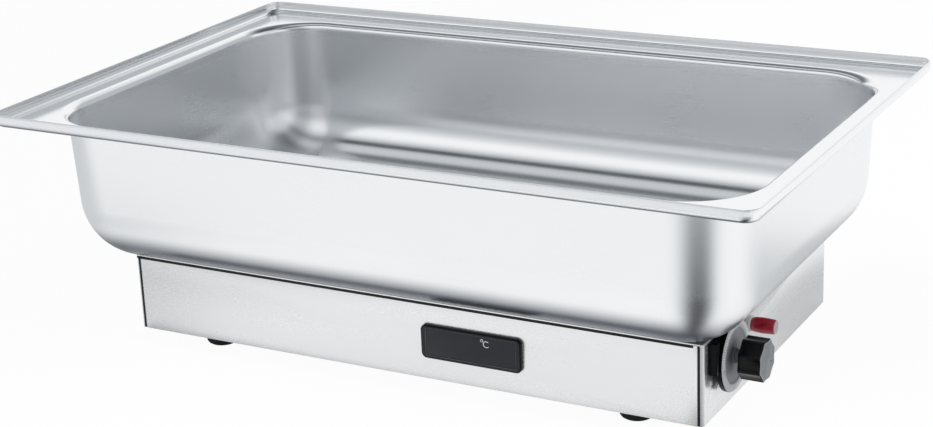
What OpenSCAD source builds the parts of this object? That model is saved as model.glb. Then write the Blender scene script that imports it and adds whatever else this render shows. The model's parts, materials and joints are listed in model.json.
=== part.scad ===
// Electric bain-marie: a deep-drawn steel water pan on a low, heated sheet-metal base.
// The origin lies under the middle of the pan's rim, on the surface that the feet stand on.
// X runs along the length, the front faces -Y and Z points up.

/* [Pan] */
// Length over the pan's lip
rim_l = 560; // [520:1:700]
// Width over the pan's lip
rim_w = 360; // [330:1:440]
// Height of the pan, from its underside to the top of the lip
pan_h = 116; // [95:1:150]
// Thickness of the pan's sheet
pan_t = 1; // [0.8:0.1:1.4]
// Height of the lip above the flange
lip_h = 8.2; // [7:0.1:14]
// Outer radius of the bend between flange and lip
lip_bend = 5; // [3:0.5:7]
// Corner radius of the lip, seen from above
lip_corner = 11; // [9:1:20]
// Distance from the lip's outside to the tub's wall, at each end
tub_in_l = 23; // [21:1:40]
// Distance from the lip's outside to the tub's wall, at front and back
tub_in_w = 27; // [21:1:40]
// Inner corner radius at the top of the tub's wall
tub_corner = 49; // [30:1:60]
// Radius of the rounded edge of the opening
edge_r = 6; // [3:0.5:8]
// Slope of the tub's wall, in degrees
wall_slope = 2.9; // [1:0.1:5]
// Outer radius round the tub's bottom, as far as the corners allow it
bottom_r = 46; // [15:1:60]

/* [Base] */
// Distance from the lip's outside to the base, at each end
base_in_l = 61.5; // [50:0.5:75]
// Distance from the lip's outside to the base, at front and back
base_in_w = 62.5; // [50:0.5:74]
// Height of the base, without its feet
base_h = 55; // [53:1:80]
// How far the base lies to the right of the pan's middle
base_x = 3.6; // [0:0.1:6]
// How far the base lies behind the pan's middle
base_y = 2; // [0:0.1:6]
// Thickness of the base's sheet
base_t = 1; // [0.8:0.1:1.2]
// Outer radius of the upright bends at the base's corners
bend_r = 2.6; // [2:0.1:4]
// Open joint between a bend and the panel beside it
joint_gap = 1.2; // [0.6:0.1:2]
// Thickness of the black seal above the front and back panels
seal_t = 1.8; // [1.2:0.1:3]
// Width of the upturned ear at the right end of the front and back panels
ear_w = 3; // [2:0.5:6]
// Width of the bottom flanges of the front and back panels
foot_flange_w = 30; // [28:1:36]
// Width of the rails that the pan sits on
rail_w = 25; // [22:1:30]
// Thickness of the rails that the pan sits on
rail_t = 1; // [1:0.5:3]

/* [Feet] */
// Height of the feet below the base
foot_h = 8; // [7:0.5:15]
// Radius of a foot at its top
foot_r = 12; // [10:0.5:13]
// Radius of a foot where it stands
foot_sole_r = 8; // [7:0.5:9]
// Distance from the base's left end to the middle of the left feet
foot_in_left = 59.4; // [30:0.1:70]
// Distance from the base's right end to the middle of the right feet
foot_in_right = 52.3; // [40:0.1:70]
// Distance from the base's front or back to the middle of its feet
foot_in_w = 16.5; // [15:0.5:17]

/* [Display] */
// Width of the display's frame
display_w = 75; // [60:1:100]
// Height of the display's frame
display_h = 24; // [22:0.5:30]
// Distance from the base's middle to the display's middle
display_x = 54.4; // [0:0.1:80]
// Distance from the top of the base down to the display's middle
display_drop = 27.1; // [25:0.1:30]
// How far the display's frame stands out from the panel
display_out = 2.6; // [2.6:0.1:5]
// Depth of the display's housing behind the panel
display_deep = 16; // [12:1:20]

/* [Control] */
// Distance from the base's front to the knob's axis
knob_in = 36; // [33:0.5:38]
// Distance from the top of the base down to the knob's axis
knob_drop = 18.4; // [18:0.1:26]
// Radius of the dial at its face
dial_r = 23.8; // [18:0.1:24]
// How much smaller the dial's radius is behind
dial_draft = 1.9; // [1:0.1:3]
// Thickness of the dial
dial_t = 4.5; // [3.5:0.1:4.6]
// Thickness of the moulded plate behind the dial
plate_t = 3.7; // [3.5:0.1:5]
// Distance from the dial's face to the knob's grip
neck_l = 5.7; // [2:0.1:8]
// Radius of the neck between the dial and the knob's grip
neck_r = 4.4; // [4.3:0.1:6]
// Radius over the knob's ribs
knob_r = 14.2; // [12:0.1:16]
// Length of the knob's grip
knob_l = 14.7; // [12:0.1:24]
// Number of hollow grips round the knob
knob_grips = 8; // [6:1:10]
// Radius of the spindle
spindle_r = 3; // [2.5:0.5:3.5]
// Distance from the base's front to the lamp's axis
lamp_in = 83.3; // [78:0.1:90]
// Distance from the top of the base down to the lamp's axis
lamp_drop = 15.4; // [12:0.1:25]
// Radius of the lamp's lens
lamp_r = 5; // [4:0.5:6]
// Length of the lamp's lens
lamp_l = 16.7; // [10:0.1:22]

/* [Heating] */
// Margin from the base's ends to the heat spreader
spread_in_l = 50; // [45:1:70]
// Margin from the base's front and back to the heat spreader
spread_in_w = 42.5; // [42:0.5:48]
// Thickness of the heat spreader
spread_t = 2; // [1.5:0.5:3]
// Radius of the heating tube
tube_r = 3.2; // [3:0.1:3.6]
// Thickness of the insulation pad
pad_h = 20; // [10:1:22]
// Radius of the studs welded under the pan
stud_r = 2.5; // [2:0.5:2.5]

/* [Inlet] */
// Distance from the base's right end to the inlet's middle
inlet_in = 92.5; // [85:0.5:130]
// Distance from the top of the base down to the inlet's middle
inlet_drop = 28; // [26:1:32]
// Distance between the inlet's two screws
inlet_pitch = 40; // [40:0.5:42]

/* [Clearances] */
// Radial clearance of the turning spindle
run_fit = 0.05; // [0.03:0.01:0.1]
// Clearance of a piece that drops into another
slip_fit = 0.1; // [0.05:0.05:0.2]
// Radial clearance of a screw or stud in its hole
hole_fit = 0.4; // [0.2:0.1:0.6]
// Gap between the fixed dial and the knob's neck
dial_gap = 0.5; // [0.3:0.1:1]

/* [Hidden] */
$fn = 64;

// Outside of the base and the main levels
base_l = rim_l - 2 * base_in_l;
base_w = rim_w - 2 * base_in_w;
left = base_x - base_l / 2;
right = base_x + base_l / 2;
front = base_y - base_w / 2;
back = base_y + base_w / 2;
base_z = foot_h;
base_top = foot_h + base_h;
pan_z = base_top + rail_t;
rim_z = pan_z + pan_h;
floor_z = base_z + 2 * base_t;
panel_top = base_top - seal_t;

// Profile of the tub: the arc of the opening's edge, the sloping wall and the bottom arc
flange_top = rim_z - lip_h;
flange_z = flange_top - pan_t;
tub_x = rim_l / 2 - tub_in_l - tub_corner;
tub_y = rim_w / 2 - tub_in_w - tub_corner;
edge_d = tub_corner + edge_r;
edge_z = flange_top - edge_r;
under_r = edge_r - pan_t;
bottom_least = 0.8;
bottom_room = edge_d - under_r * cos(wall_slope)
    - tan(wall_slope) * (edge_z + under_r * sin(wall_slope) - pan_z) - bottom_least;
bottom_arc = min(bottom_r, bottom_room / (cos(wall_slope) + tan(wall_slope) * (sin(wall_slope) - 1)));
wall_run = (edge_z + (under_r + bottom_arc) * sin(wall_slope) - pan_z - bottom_arc) / cos(wall_slope);
bottom_d = edge_d - (under_r + bottom_arc) * cos(wall_slope) - wall_run * sin(wall_slope);

// Height of the pan's outside over its bottom arc, at x
function pan_under(x) =
    let (along = min(max((x - tub_x - bottom_d) / bottom_arc, 0), 1))
    pan_z + bottom_arc * (1 - sqrt(1 - along * along));

// Ends of the front and back panels, beside the corner bends
panel_x0 = left + bend_r + joint_gap;
panel_x1 = right - bend_r - joint_gap;
flange_w = 12;
side_flange_w = 14;
side_top_w = rail_w;
edge_inset = 0.3;

// Feet and their screws
feet = [[left + foot_in_left, front + foot_in_w], [right - foot_in_right, front + foot_in_w],
        [left + foot_in_left, back - foot_in_w], [right - foot_in_right, back - foot_in_w]];
foot_bore_r = 5;
foot_seat = 4;
sole_round = [2.2, 0.9];
side_low = 4.6;
side_round = [0.6, 2];
screw_r = 2;
screw_head_r = 3.6;
screw_head_t = 2;
plate_nut_af = 7;
plate_nut_t = 3.2;
screw_past = 1;
base_screw_in = 22;
side_screw_in = 8;
side_screw_y = 36;
base_screw_spots = [[base_x, front + base_screw_in], [base_x, back - base_screw_in],
                    [left + side_screw_in, base_y - side_screw_y],
                    [left + side_screw_in, base_y + side_screw_y],
                    [right - side_screw_in, base_y - side_screw_y],
                    [right - side_screw_in, base_y + side_screw_y]];

// Studs welded under the pan: four hold the pan down, six carry the clamp bars
stud_in = 19;
stud_y = 52;
stud_len = 18;
stud_nut_af = 8;
stud_nut_t = 4;
washer_r = 5;
washer_t = 1;
pan_stud_spots = [for (x = [left + stud_in, right - stud_in]) for (y = [-stud_y, stud_y]) [x, base_y + y]];
run_y = 18;
bar_pitch = 85;
bar_stud_spots = [for (i = [-1:1]) for (s = [-1, 1]) [base_x + i * bar_pitch, base_y + s * 2 * run_y]];

// Heating tube under the spreader
spread_x0 = left + spread_in_l;
spread_x1 = right - spread_in_l;
spread_y0 = front + spread_in_w;
spread_y1 = back - spread_in_w;
spread_z = pan_z - spread_t;
tube_z = spread_z - tube_r - slip_fit;
bend_in = 48;
tube_x0 = spread_x0 + bend_in;
tube_x1 = spread_x1 - bend_in;
tube_end = spread_x1 - 18;
pin_r = 1.6;
pin_len = 10;
bar_t = 2;
bar_w = 14;
bar_top = tube_z - tube_r - slip_fit;
bar_half = 3 * run_y + 10;
cutout_x = spread_x1 - 13;
cutout_r = 8;
cutout_t = 8;

// Pad and tray on the bottom plate
pad_in_l = 68;
pad_in_w = 45.5;
pad_x = base_l / 2 - pad_in_l;
pad_y = base_w / 2 - pad_in_w;
tray_t = 1;
tray_lug = 12;
tray_lug_w = 14;
tray_spots = [for (x = [-1, 1]) for (y = [-1, 1])
              [base_x + x * (pad_x + tray_t + tray_lug / 2), base_y + y * (pad_y - 10)]];

// Display
display_cx = base_x + display_x;
display_cz = base_top - display_drop;
display_corner = 4;
frame_lap = 3.7;
shell_w = display_w - 2 * frame_lap;
shell_h = display_h - 2 * frame_lap;
shell_t = 1.4;
window_w = display_w - 8;
window_h = display_h - 5;
window_t = 1.2;
window_lap = [2, 3];
recess = 1.6;
board_t = 1.6;
cell_in = [3, 3.5];
cell_w = window_w - 2 * cell_in.x;
cell_h = window_h - 2 * cell_in.y;
sight_w = window_w - 2 * window_lap.x;
sight_h = window_h - 2 * window_lap.y;
clip_w = 3;
clip_side = 8;

// Probe and bulb in the channel in front of the spreader
channel_y = front + 33.5;
probe_r = 3;
probe_z = pan_z - probe_r - slip_fit;
probe_x = display_cx - 47.2;
probe_l = 30;
bulb_x = right - 152;
bulb_l = 80;
clip_t = 2.5;
clip_l = 8;

// Knob, dial and thermostat, along X at the right end; the dial stays clear of the pan above it
knob_y = front + knob_in;
dial_x = right + plate_t;
dial_face = dial_x + dial_t;
dial_clear = 0.5;
knob_z = min(base_top - knob_drop, pan_under(dial_face) - dial_clear - dial_r);
plate_r = 19;
lug_y = front + 7.5;
lug_wall = 4;
lug_out = 6.3;
lug_z0 = knob_z - 3.6;
lug_z1 = base_top - 0.5;
dial_recess = 1;
dial_ring = 5;
knob_x = dial_face + neck_l;
knob_end = knob_x + knob_l;
peg_r = 1.5;
peg_l = 2.5;
peg_out = 12;
cap_in = 0.6;
cap_t = 1.6;
cap_out = 0.6;
grip_r = 20;
grip_depth = 1.2;
grip_turn = 41.5;
body_w = 32;
body_deep = 24;
body_x = right - base_t - body_deep;
body_tab_l = 8;
body_tab_w = 6;
body_tab_t = 0.8;
body_tab_y = 8;
body_tab = body_x - body_tab_l;
body_tab_z = knob_z + 6;
control_screw_l = 8;
head_sink = 0.4;
collar_r = 4.9;
collar_l = 3;
spindle_in = 16;
spindle_gap = 0.3;
screw_gap = 0.5;
spindle_end = knob_end - cap_t - 2.5;
control_pitch = 28;
grub_r = 1.5;
grub_l = 6;
grub_in = 5;

// Lamp
lamp_y = front + lamp_in;
lamp_z = base_top - lamp_drop;
lamp_flange_t = 1.2;
lamp_lap = 0.4;
lens_wall = 1.4;
lens_end = 3;
lamp_thread_r = 3.9;
lamp_thread_l = 18;
lamp_nut_af = 11;
lamp_nut_t = 3;
bulb_glass_r = 2.6;
bulb_in = 6;
bulb_out = 8;

// Inlet
inlet_cx = right - inlet_in;
inlet_cz = base_top - inlet_drop;
inlet_w = 27;
inlet_h = 20;
inlet_deep = 18;
inlet_flange_t = 2.5;
inlet_wall = 1.4;
inlet_floor = 3;
inlet_screw_r = 1.5;
inlet_head_r = 2.8;
inlet_head_t = 1.6;
inlet_past = 10;
inlet_lap = 2;
inlet_corner = 5;
inlet_nut_af = 5.5;
inlet_nut_t = 2.4;
pin_short = 5;
tab_l = 9;
blade_pitch = 7;
blade_drop = 2;
earth_rise = 2;
inlet_spots = [inlet_cx - inlet_pitch / 2, inlet_cx + inlet_pitch / 2];

// Terminals on the bottom plate
block_x = right - 53;
block_y = back - 67.5;
block_size = [30, 18, 16];
pole = block_size.x / 3;
pole_r = 2.5;
pole_deep = 8;
earth_x = right - 52;
earth_y = back - 33.5;
earth_h = 12;
earth_nut_t = 3;
lug_gap = 2.6;
lug_z = floor_z + earth_nut_t + lug_gap / 2;

// Route of each inner lead, from terminal to terminal
element_pin_x = tube_end + pin_len;
capillary_r = 0.9;
capillary_route = [[bulb_x + bulb_l, channel_y, probe_z], [bulb_x + bulb_l + 8, channel_y, probe_z],
                   [body_x - 25, knob_y - 14, knob_z + 4], [body_x - 12, knob_y - 12, knob_z - 10],
                   [body_x - 6, knob_y - 10, knob_z - 12], [body_x, knob_y - 10, knob_z - 12]];
lead_r = 1;
display_back = front + display_deep + shell_t;
lead_x = probe_x + probe_l + 6;
probe_route = [[probe_x + probe_l, channel_y, probe_z], [probe_x + probe_l + 5, channel_y, probe_z],
               [lead_x + 6, channel_y - 4, probe_z - 10], [lead_x, display_back + 7, display_cz + 3],
               [lead_x, display_back, display_cz + 3]];
tab_y = back - inlet_deep - tab_l;
live_x = inlet_cx + blade_pitch;
neutral_x = inlet_cx - blade_pitch;
blade_z = inlet_cz - blade_drop;
earth_z = inlet_cz + earth_rise + 2;
pole_z = floor_z + 8;
pole_x = [for (i = [0:2]) block_x + pole * (i + 0.5)];
pole_reach = 0.16 * (block_y - base_y);
supply_y = display_back + 8;
supply_x = display_cx + 24;
front_run = base_y - 3 * run_y;
back_run = base_y + 3 * run_y;
cutout_tab = cutout_r + 3;
cutout_z = spread_z - 4;
wire_r = 1.2;
wire_routes = [
    // Live blade to the terminal block
    [[live_x, tab_y, blade_z], [live_x, tab_y - 7.5, blade_z], [live_x + 13, tab_y - 12, blade_z - 5],
     [block_x + 2, tab_y - 14, pole_z + 3], [pole_x[0], block_y + block_size.y + 5, pole_z],
     [pole_x[0], block_y + block_size.y, pole_z]],
    // Neutral blade to the front end of the heating tube
    [[neutral_x, tab_y, blade_z], [neutral_x, tab_y - 7.5, blade_z],
     [neutral_x + 26, tab_y - 15, blade_z + 12], [block_x + 17, back_run - 16, blade_z + 7],
     [element_pin_x + 14, base_y - 22, blade_z + 11], [element_pin_x + 12, front_run + 6, tube_z - 7],
     [element_pin_x + 6, front_run, tube_z], [element_pin_x, front_run, tube_z]],
    // Earth blade to the earth stud
    [[inlet_cx, tab_y, earth_z], [inlet_cx, tab_y - 6, earth_z], [inlet_cx + 11, tab_y - 7, earth_z + 2],
     [earth_x - 20, earth_y + 3, floor_z + 18], [earth_x - 12, earth_y, floor_z + 6],
     [earth_x - 6, earth_y, lug_z], [earth_x - screw_r, earth_y, lug_z]],
    // Terminal block to the thermostat
    [[pole_x[1], block_y, pole_z], [pole_x[1], block_y - pole_reach, pole_z],
     [pole_x[1], base_y, pole_z + 6],
     [pole_x[1] - 2, base_y - 52, pole_z + 18], [body_tab - 8, knob_y + 15, body_tab_z - 6],
     [body_tab - 6, knob_y + 8, body_tab_z], [body_tab, knob_y + 8, body_tab_z]],
    // Thermostat to the front of the thermal cut-out
    [[body_tab, knob_y - 8, body_tab_z], [body_tab - 6, knob_y - 8, body_tab_z],
     [body_tab - 12, knob_y + 4, body_tab_z - 10], [cutout_x + 12, front_run + 8, cutout_z - 20],
     [cutout_x + 1, base_y - cutout_tab - 15, cutout_z - 8], [cutout_x, base_y - cutout_tab - 7, cutout_z],
     [cutout_x, base_y - cutout_tab, cutout_z]],
    // Back of the thermal cut-out to the back end of the heating tube
    [[cutout_x, base_y + cutout_tab, cutout_z], [cutout_x, base_y + cutout_tab + 6, cutout_z],
     [cutout_x + 9, back_run - 20, cutout_z - 4], [element_pin_x + 10, back_run - 6, cutout_z - 2],
     [element_pin_x + 8, back_run, tube_z], [element_pin_x, back_run, tube_z]],
    // Terminal block to the lamp
    [[pole_x[2], block_y, pole_z], [pole_x[2], block_y - pole_reach, pole_z],
     [pole_x[2] + 3, base_y, pole_z + 12],
     [right - 26, lamp_y + 9, lamp_z - 4], [right - lamp_thread_l - 6, lamp_y, lamp_z],
     [right - lamp_thread_l, lamp_y, lamp_z]],
    // Terminal block to the display
    [[pole_x[0], block_y, pole_z], [pole_x[0], block_y - pole_reach, pole_z],
     [block_x + 3, base_y + 20, floor_z + 2],
     [block_x + 3, front_run - 16, floor_z + 2], [block_x - 8, spread_y0 - 5, floor_z + 2],
     [supply_x + 14, supply_y + 10, floor_z + 3], [supply_x, supply_y, display_cz - 4],
     [supply_x, display_back, display_cz - 4]]];

steel = [0.82, 0.83, 0.84];
dark_steel = [0.55, 0.56, 0.58];
black = [0.08, 0.08, 0.09];
copper = [0.72, 0.45, 0.3];
brass = [0.75, 0.62, 0.35];

// A box between two values on each axis
module block(x, y, z) {
    translate([x[0], y[0], z[0]])
        cube([x[1] - x[0], y[1] - y[0], z[1] - z[0]]);
}

// Round rods between two values along one axis
module rod_x(x, y, z, r) {
    translate([x[0], y, z])
        rotate([0, 90, 0])
            cylinder(h = x[1] - x[0], r = r);
}

module rod_y(x, y, z, r) {
    translate([x, y[1], z])
        rotate([90, 0, 0])
            cylinder(h = y[1] - y[0], r = r);
}

module rod_z(x, y, z, r) {
    translate([x, y, z[0]])
        cylinder(h = z[1] - z[0], r = r);
}

// A hexagon prism given by its width across the flats
module hexagon(flats, height) {
    cylinder(h = height, r = flats / 2 / cos(30), $fn = 6);
}

// A rectangle with round corners, given by its half sizes
module round_rect(x, y, r) {
    square([2 * x, 2 * (y - r)], center = true);
    square([2 * (x - r), 2 * y], center = true);
    for (i = [-1, 1])
        for (j = [-1, 1])
            translate([i * (x - r), j * (y - r)])
                circle(r = r);
}

// Part of a ring between two angles that lie at most a quarter turn apart
module ring_part(outer, inner, from, to) {
    reach = 2 * outer;
    middle = (from + to) / 2;
    intersection() {
        difference() {
            circle(r = outer);
            circle(r = inner);
        }
        polygon([[0, 0], reach * [cos(from), sin(from)], reach * [cos(middle), sin(middle)],
                 reach * [cos(to), sin(to)]]);
    }
}

// Carries an upright profile round a rectangle with round corners.
// x and y are the half distances between the corner centres.
module sweep_round(x, y) {
    for (corner = [[1, 1, 0], [-1, 1, 90], [-1, -1, 180], [1, -1, 270]])
        translate([corner[0] * x, corner[1] * y, 0])
            rotate([0, 0, corner[2]])
                rotate_extrude(angle = 90)
                    children();
    for (turn = [0, 180])
        rotate([0, 0, turn])
            translate([x, y, 0])
                rotate([90, 0, 0])
                    linear_extrude(2 * y)
                        children();
    for (turn = [90, 270])
        rotate([0, 0, turn])
            translate([y, x, 0])
                rotate([90, 0, 0])
                    linear_extrude(2 * x)
                        children();
}

// A point on a smooth curve through a list of points, past p[i] by the share t
function smooth(p, i, t) =
    let (a = p[max(i - 1, 0)], b = p[i], c = p[i + 1], d = p[min(i + 2, len(p) - 1)])
    0.5 * (2 * b + (c - a) * t + (2 * a - 5 * b + 4 * c - d) * t * t
        + (3 * b - a - 3 * c + d) * t * t * t);

function unit(v) = v / norm(v);

// A thin tube along a smooth curve through the route's points
module tube(route, r, steps = 5, sides = 8) {
    path = [for (i = [0:len(route) - 2]) for (k = [0:steps - 1]) smooth(route, i, k / steps),
            route[len(route) - 1]];
    last = len(path) - 1;
    legs = len(route) - 1;
    aim = [for (i = [0:last]) i == 0 ? unit(route[1] - route[0])
           : i == last ? unit(route[legs] - route[legs - 1]) : unit(path[i + 1] - path[i - 1])];
    side = [for (a = aim) unit(cross(a, abs(a.z) < 0.8 ? [0, 0, 1] : [1, 0, 0]))];
    points = [for (i = [0:last]) for (k = [0:sides - 1])
              let (u = side[i], v = cross(aim[i], u), turn = 360 * k / sides)
              path[i] + r * (cos(turn) * u + sin(turn) * v)];
    skin = [for (i = [0:last - 1]) for (k = [0:sides - 1]) for (half = [0, 1])
            let (a = i * sides + k, b = i * sides + (k + 1) % sides)
            half == 0 ? [a, b, b + sides] : [a, b + sides, a + sides]];
    ends = [[for (k = [sides - 1:-1:0]) k], [for (k = [0:sides - 1]) last * sides + k]];
    polyhedron(points = points, faces = concat(skin, ends), convexity = 4);
}

// Section through the tub's wall, measured outwards from the corner centres
module tub_profile() {
    face = [cos(wall_slope), -sin(wall_slope)];
    edge = [edge_d, edge_z];
    bottom = [bottom_d, pan_z + bottom_arc];
    translate(edge)
        ring_part(edge_r, under_r, 90, 180 - wall_slope);
    polygon([edge - edge_r * face, edge - under_r * face,
             bottom + bottom_arc * face, bottom + (bottom_arc - pan_t) * face]);
    translate(bottom)
        ring_part(bottom_arc, bottom_arc - pan_t, -90, -wall_slope);
}

// Section through the bend and the upright lip
module lip_profile() {
    translate([lip_corner - lip_bend, flange_z + lip_bend])
        ring_part(lip_bend, lip_bend - pan_t, -90, 0);
    translate([lip_corner - pan_t, flange_z + lip_bend])
        square([pan_t, rim_z - flange_z - lip_bend]);
}

module water_pan() {
    color(steel) {
        sweep_round(tub_x, tub_y)
            tub_profile();
        sweep_round(rim_l / 2 - lip_corner, rim_w / 2 - lip_corner)
            lip_profile();
        translate([0, 0, pan_z])
            linear_extrude(pan_t)
                round_rect(tub_x + bottom_d, tub_y + bottom_d, bottom_d);
        translate([0, 0, flange_z])
            linear_extrude(pan_t)
                difference() {
                    round_rect(rim_l / 2 - lip_bend, rim_w / 2 - lip_bend, lip_corner - lip_bend);
                    round_rect(tub_x + edge_d, tub_y + edge_d, edge_d);
                }
    }
}

// Flat rails that carry the pan's bottom round its edge
module cross_rail(y) {
    color(steel)
        block([left + edge_inset, right - edge_inset], y, [base_top, pan_z]);
}

module seat_rail_front() {
    cross_rail([front + edge_inset, front + rail_w]);
}

module seat_rail_back() {
    cross_rail([back - rail_w, back - edge_inset]);
}

module end_rail(x) {
    color(steel)
        difference() {
            block(x, [front + rail_w, back - rail_w], [base_top, pan_z]);
            stud_holes(pan_stud_spots);
        }
}

module seat_rail_left() {
    end_rail([left + edge_inset, left + rail_w]);
}

module seat_rail_right() {
    end_rail([right - rail_w, right - edge_inset]);
}

// Holes for the studs, through everything under the pan
module stud_holes(spots) {
    for (p = spots)
        rod_z(p.x, p.y, [base_z, pan_z + 1], stud_r + hole_fit);
}

// Front or back panel, with its outside at y = 0 and its inside towards +y
module cross_panel() {
    block([panel_x0, panel_x1], [0, base_t], [base_z, panel_top]);
    block([panel_x0, panel_x1], [0, foot_flange_w], [base_z, base_z + base_t]);
    block([panel_x0, panel_x1], [0, flange_w], [panel_top - base_t, panel_top]);
    block([panel_x1 - ear_w, panel_x1], [0, base_t], [panel_top, base_top]);
}

// Screw holes through the bottom flanges and the bottom plate
module plate_holes() {
    for (p = concat(feet, base_screw_spots))
        rod_z(p.x, p.y, [base_z - 1, floor_z + 1], screw_r + hole_fit);
}

module front_panel() {
    color(steel)
        difference() {
            translate([0, front, 0])
                cross_panel();
            block([display_cx - shell_w / 2 - slip_fit, display_cx + shell_w / 2 + slip_fit],
                  [front - 1, front + base_t + 1],
                  [display_cz - shell_h / 2 - slip_fit, display_cz + shell_h / 2 + slip_fit]);
            plate_holes();
        }
}

module back_panel() {
    color(steel)
        difference() {
            translate([0, back, 0])
                mirror([0, 1, 0])
                    cross_panel();
            block([inlet_cx - inlet_w / 2 - slip_fit, inlet_cx + inlet_w / 2 + slip_fit],
                  [back - base_t - 1, back + 1],
                  [inlet_cz - inlet_h / 2 - slip_fit, inlet_cz + inlet_h / 2 + slip_fit]);
            for (x = inlet_spots)
                rod_y(x, [back - base_t - 1, back + 1], inlet_cz, inlet_screw_r + hole_fit);
            plate_holes();
        }
}

// Left or right panel, with its outside at x = 0 and its inside towards -x
module side_panel(bend_top) {
    block([-base_t, 0], [front + bend_r, back - bend_r], [base_z, bend_top]);
    block([-base_t, 0], [front + flange_w + 1, back - flange_w - 1], [base_z, base_top]);
    block([-side_top_w, 0], [front + flange_w + 1, back - flange_w - 1], [base_top - base_t, base_top]);
    block([-side_flange_w, 0], [front + foot_flange_w + 1, back - foot_flange_w - 1],
          [base_z, base_z + base_t]);
    translate([-bend_r, front + bend_r, base_z])
        linear_extrude(bend_top - base_z)
            ring_part(bend_r, bend_r - base_t, -90, 0);
    translate([-bend_r, back - bend_r, base_z])
        linear_extrude(bend_top - base_z)
            ring_part(bend_r, bend_r - base_t, 0, 90);
}

module left_panel() {
    color(steel)
        difference() {
            translate([left, 0, 0])
                mirror([1, 0, 0])
                    side_panel(panel_top);
            stud_holes(pan_stud_spots);
            plate_holes();
        }
}

module right_panel() {
    through = [right - base_t - 1, right + 1];
    color(steel)
        difference() {
            translate([right, 0, 0])
                side_panel(base_top);
            stud_holes(pan_stud_spots);
            plate_holes();
            rod_x(through, knob_y, knob_z, collar_r + hole_fit);
            for (s = [-1, 1])
                rod_x(through, knob_y + s * control_pitch / 2, knob_z, screw_r + hole_fit);
            rod_x(through, lamp_y, lamp_z, lamp_thread_r + slip_fit);
        }
}

// Angle brackets spot-welded inside the four corners
module corner_brackets() {
    leg = 12;
    inner = bend_r - base_t;
    color(dark_steel)
        for (i = [-1, 1])
            for (j = [-1, 1])
                translate([base_x + i * (base_l / 2 - bend_r), base_y + j * (base_w / 2 - bend_r),
                           floor_z + 1])
                    mirror([i < 0 ? 1 : 0, 0, 0])
                        mirror([0, j < 0 ? 1 : 0, 0])
                            linear_extrude(panel_top - base_t - floor_z - 2) {
                                ring_part(inner, inner - base_t, 0, 90);
                                translate([inner - base_t, -leg])
                                    square([base_t, leg]);
                                translate([-leg, inner - base_t])
                                    square([leg, base_t]);
                            }
}

// Black seals between the rails and the tops of the front and back panels
module front_seal() {
    color(black)
        block([left + edge_inset, panel_x1 - ear_w], [front + edge_inset, front + flange_w],
              [panel_top, base_top]);
}

module back_seal() {
    color(black)
        block([left + edge_inset, panel_x1 - ear_w], [back - flange_w, back - edge_inset],
              [panel_top, base_top]);
}

// Bottom plate with two groups of vents
module bottom_plate() {
    vents = 8;
    vent_l = 26;
    vent_r = 2;
    vent_pitch = 11;
    vent_in = 26;
    plate_gap = 0.2;
    color(steel)
        difference() {
            union() {
                block([left + base_t + plate_gap, right - base_t - plate_gap],
                      [front + bend_r, back - bend_r], [base_z + base_t, floor_z]);
                block([panel_x0, panel_x1], [front + base_t + plate_gap, back - base_t - plate_gap],
                      [base_z + base_t, floor_z]);
            }
            plate_holes();
            for (x = [left + vent_in, right - vent_in])
                for (i = [0:vents - 1])
                    translate([x, base_y + (i - (vents - 1) / 2) * vent_pitch, base_z]) {
                        translate([-vent_l / 2, -vent_r, 0])
                            cube([vent_l, 2 * vent_r, 3]);
                        for (s = [-1, 1])
                            translate([s * vent_l / 2, 0, 0])
                                cylinder(h = 3, r = vent_r);
                    }
            for (p = tray_spots)
                rod_z(p.x, p.y, [base_z, floor_z + 1], screw_r + hole_fit);
        }
}

// A pan-head screw with its head below
module screw_up(x, y, seat, top) {
    rod_z(x, y, [seat - screw_head_t, seat], screw_head_r);
    rod_z(x, y, [seat, top], screw_r);
}

// Screws that hold the bottom plate to the flanges, and the tray to the bottom plate
module base_screws() {
    color(dark_steel) {
        for (p = base_screw_spots)
            screw_up(p.x, p.y, base_z, floor_z + plate_nut_t + screw_past);
        for (p = tray_spots)
            screw_up(p.x, p.y, base_z + base_t, floor_z + tray_t + plate_nut_t + screw_past);
    }
}

// A rubber foot, narrowing to a rounded sole, with its screw set deep inside
module foot(spot) {
    color(black)
        translate([spot.x, spot.y, 0])
            difference() {
                rotate_extrude()
                    polygon([[0, 0], [foot_sole_r, 0], [foot_sole_r + sole_round.x, sole_round.y],
                             [foot_r - side_round.x, side_low - side_round.y],
                             [foot_r, side_low], [foot_r, foot_h], [0, foot_h]]);
                translate([0, 0, -1])
                    cylinder(h = foot_seat + 1, r = foot_bore_r);
                cylinder(h = foot_h + 1, r = screw_r + hole_fit);
            }
}

module foot_front_left() {
    foot(feet[0]);
}

module foot_front_right() {
    foot(feet[1]);
}

module foot_back_left() {
    foot(feet[2]);
}

module foot_back_right() {
    foot(feet[3]);
}

module foot_screws() {
    color(dark_steel)
        for (p = feet)
            screw_up(p.x, p.y, foot_seat, floor_z + plate_nut_t + screw_past);
}

// A nut on the bottom plate or on a lug of the tray
module plate_nut(spot, z) {
    translate([spot.x, spot.y, z])
        difference() {
            hexagon(plate_nut_af, plate_nut_t);
            translate([0, 0, -1])
                cylinder(h = plate_nut_t + 2, r = screw_r + run_fit);
        }
}

module plate_nuts() {
    color(dark_steel) {
        for (p = concat(feet, base_screw_spots))
            plate_nut(p, floor_z);
        for (p = tray_spots)
            plate_nut(p, floor_z + tray_t);
    }
}

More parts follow.
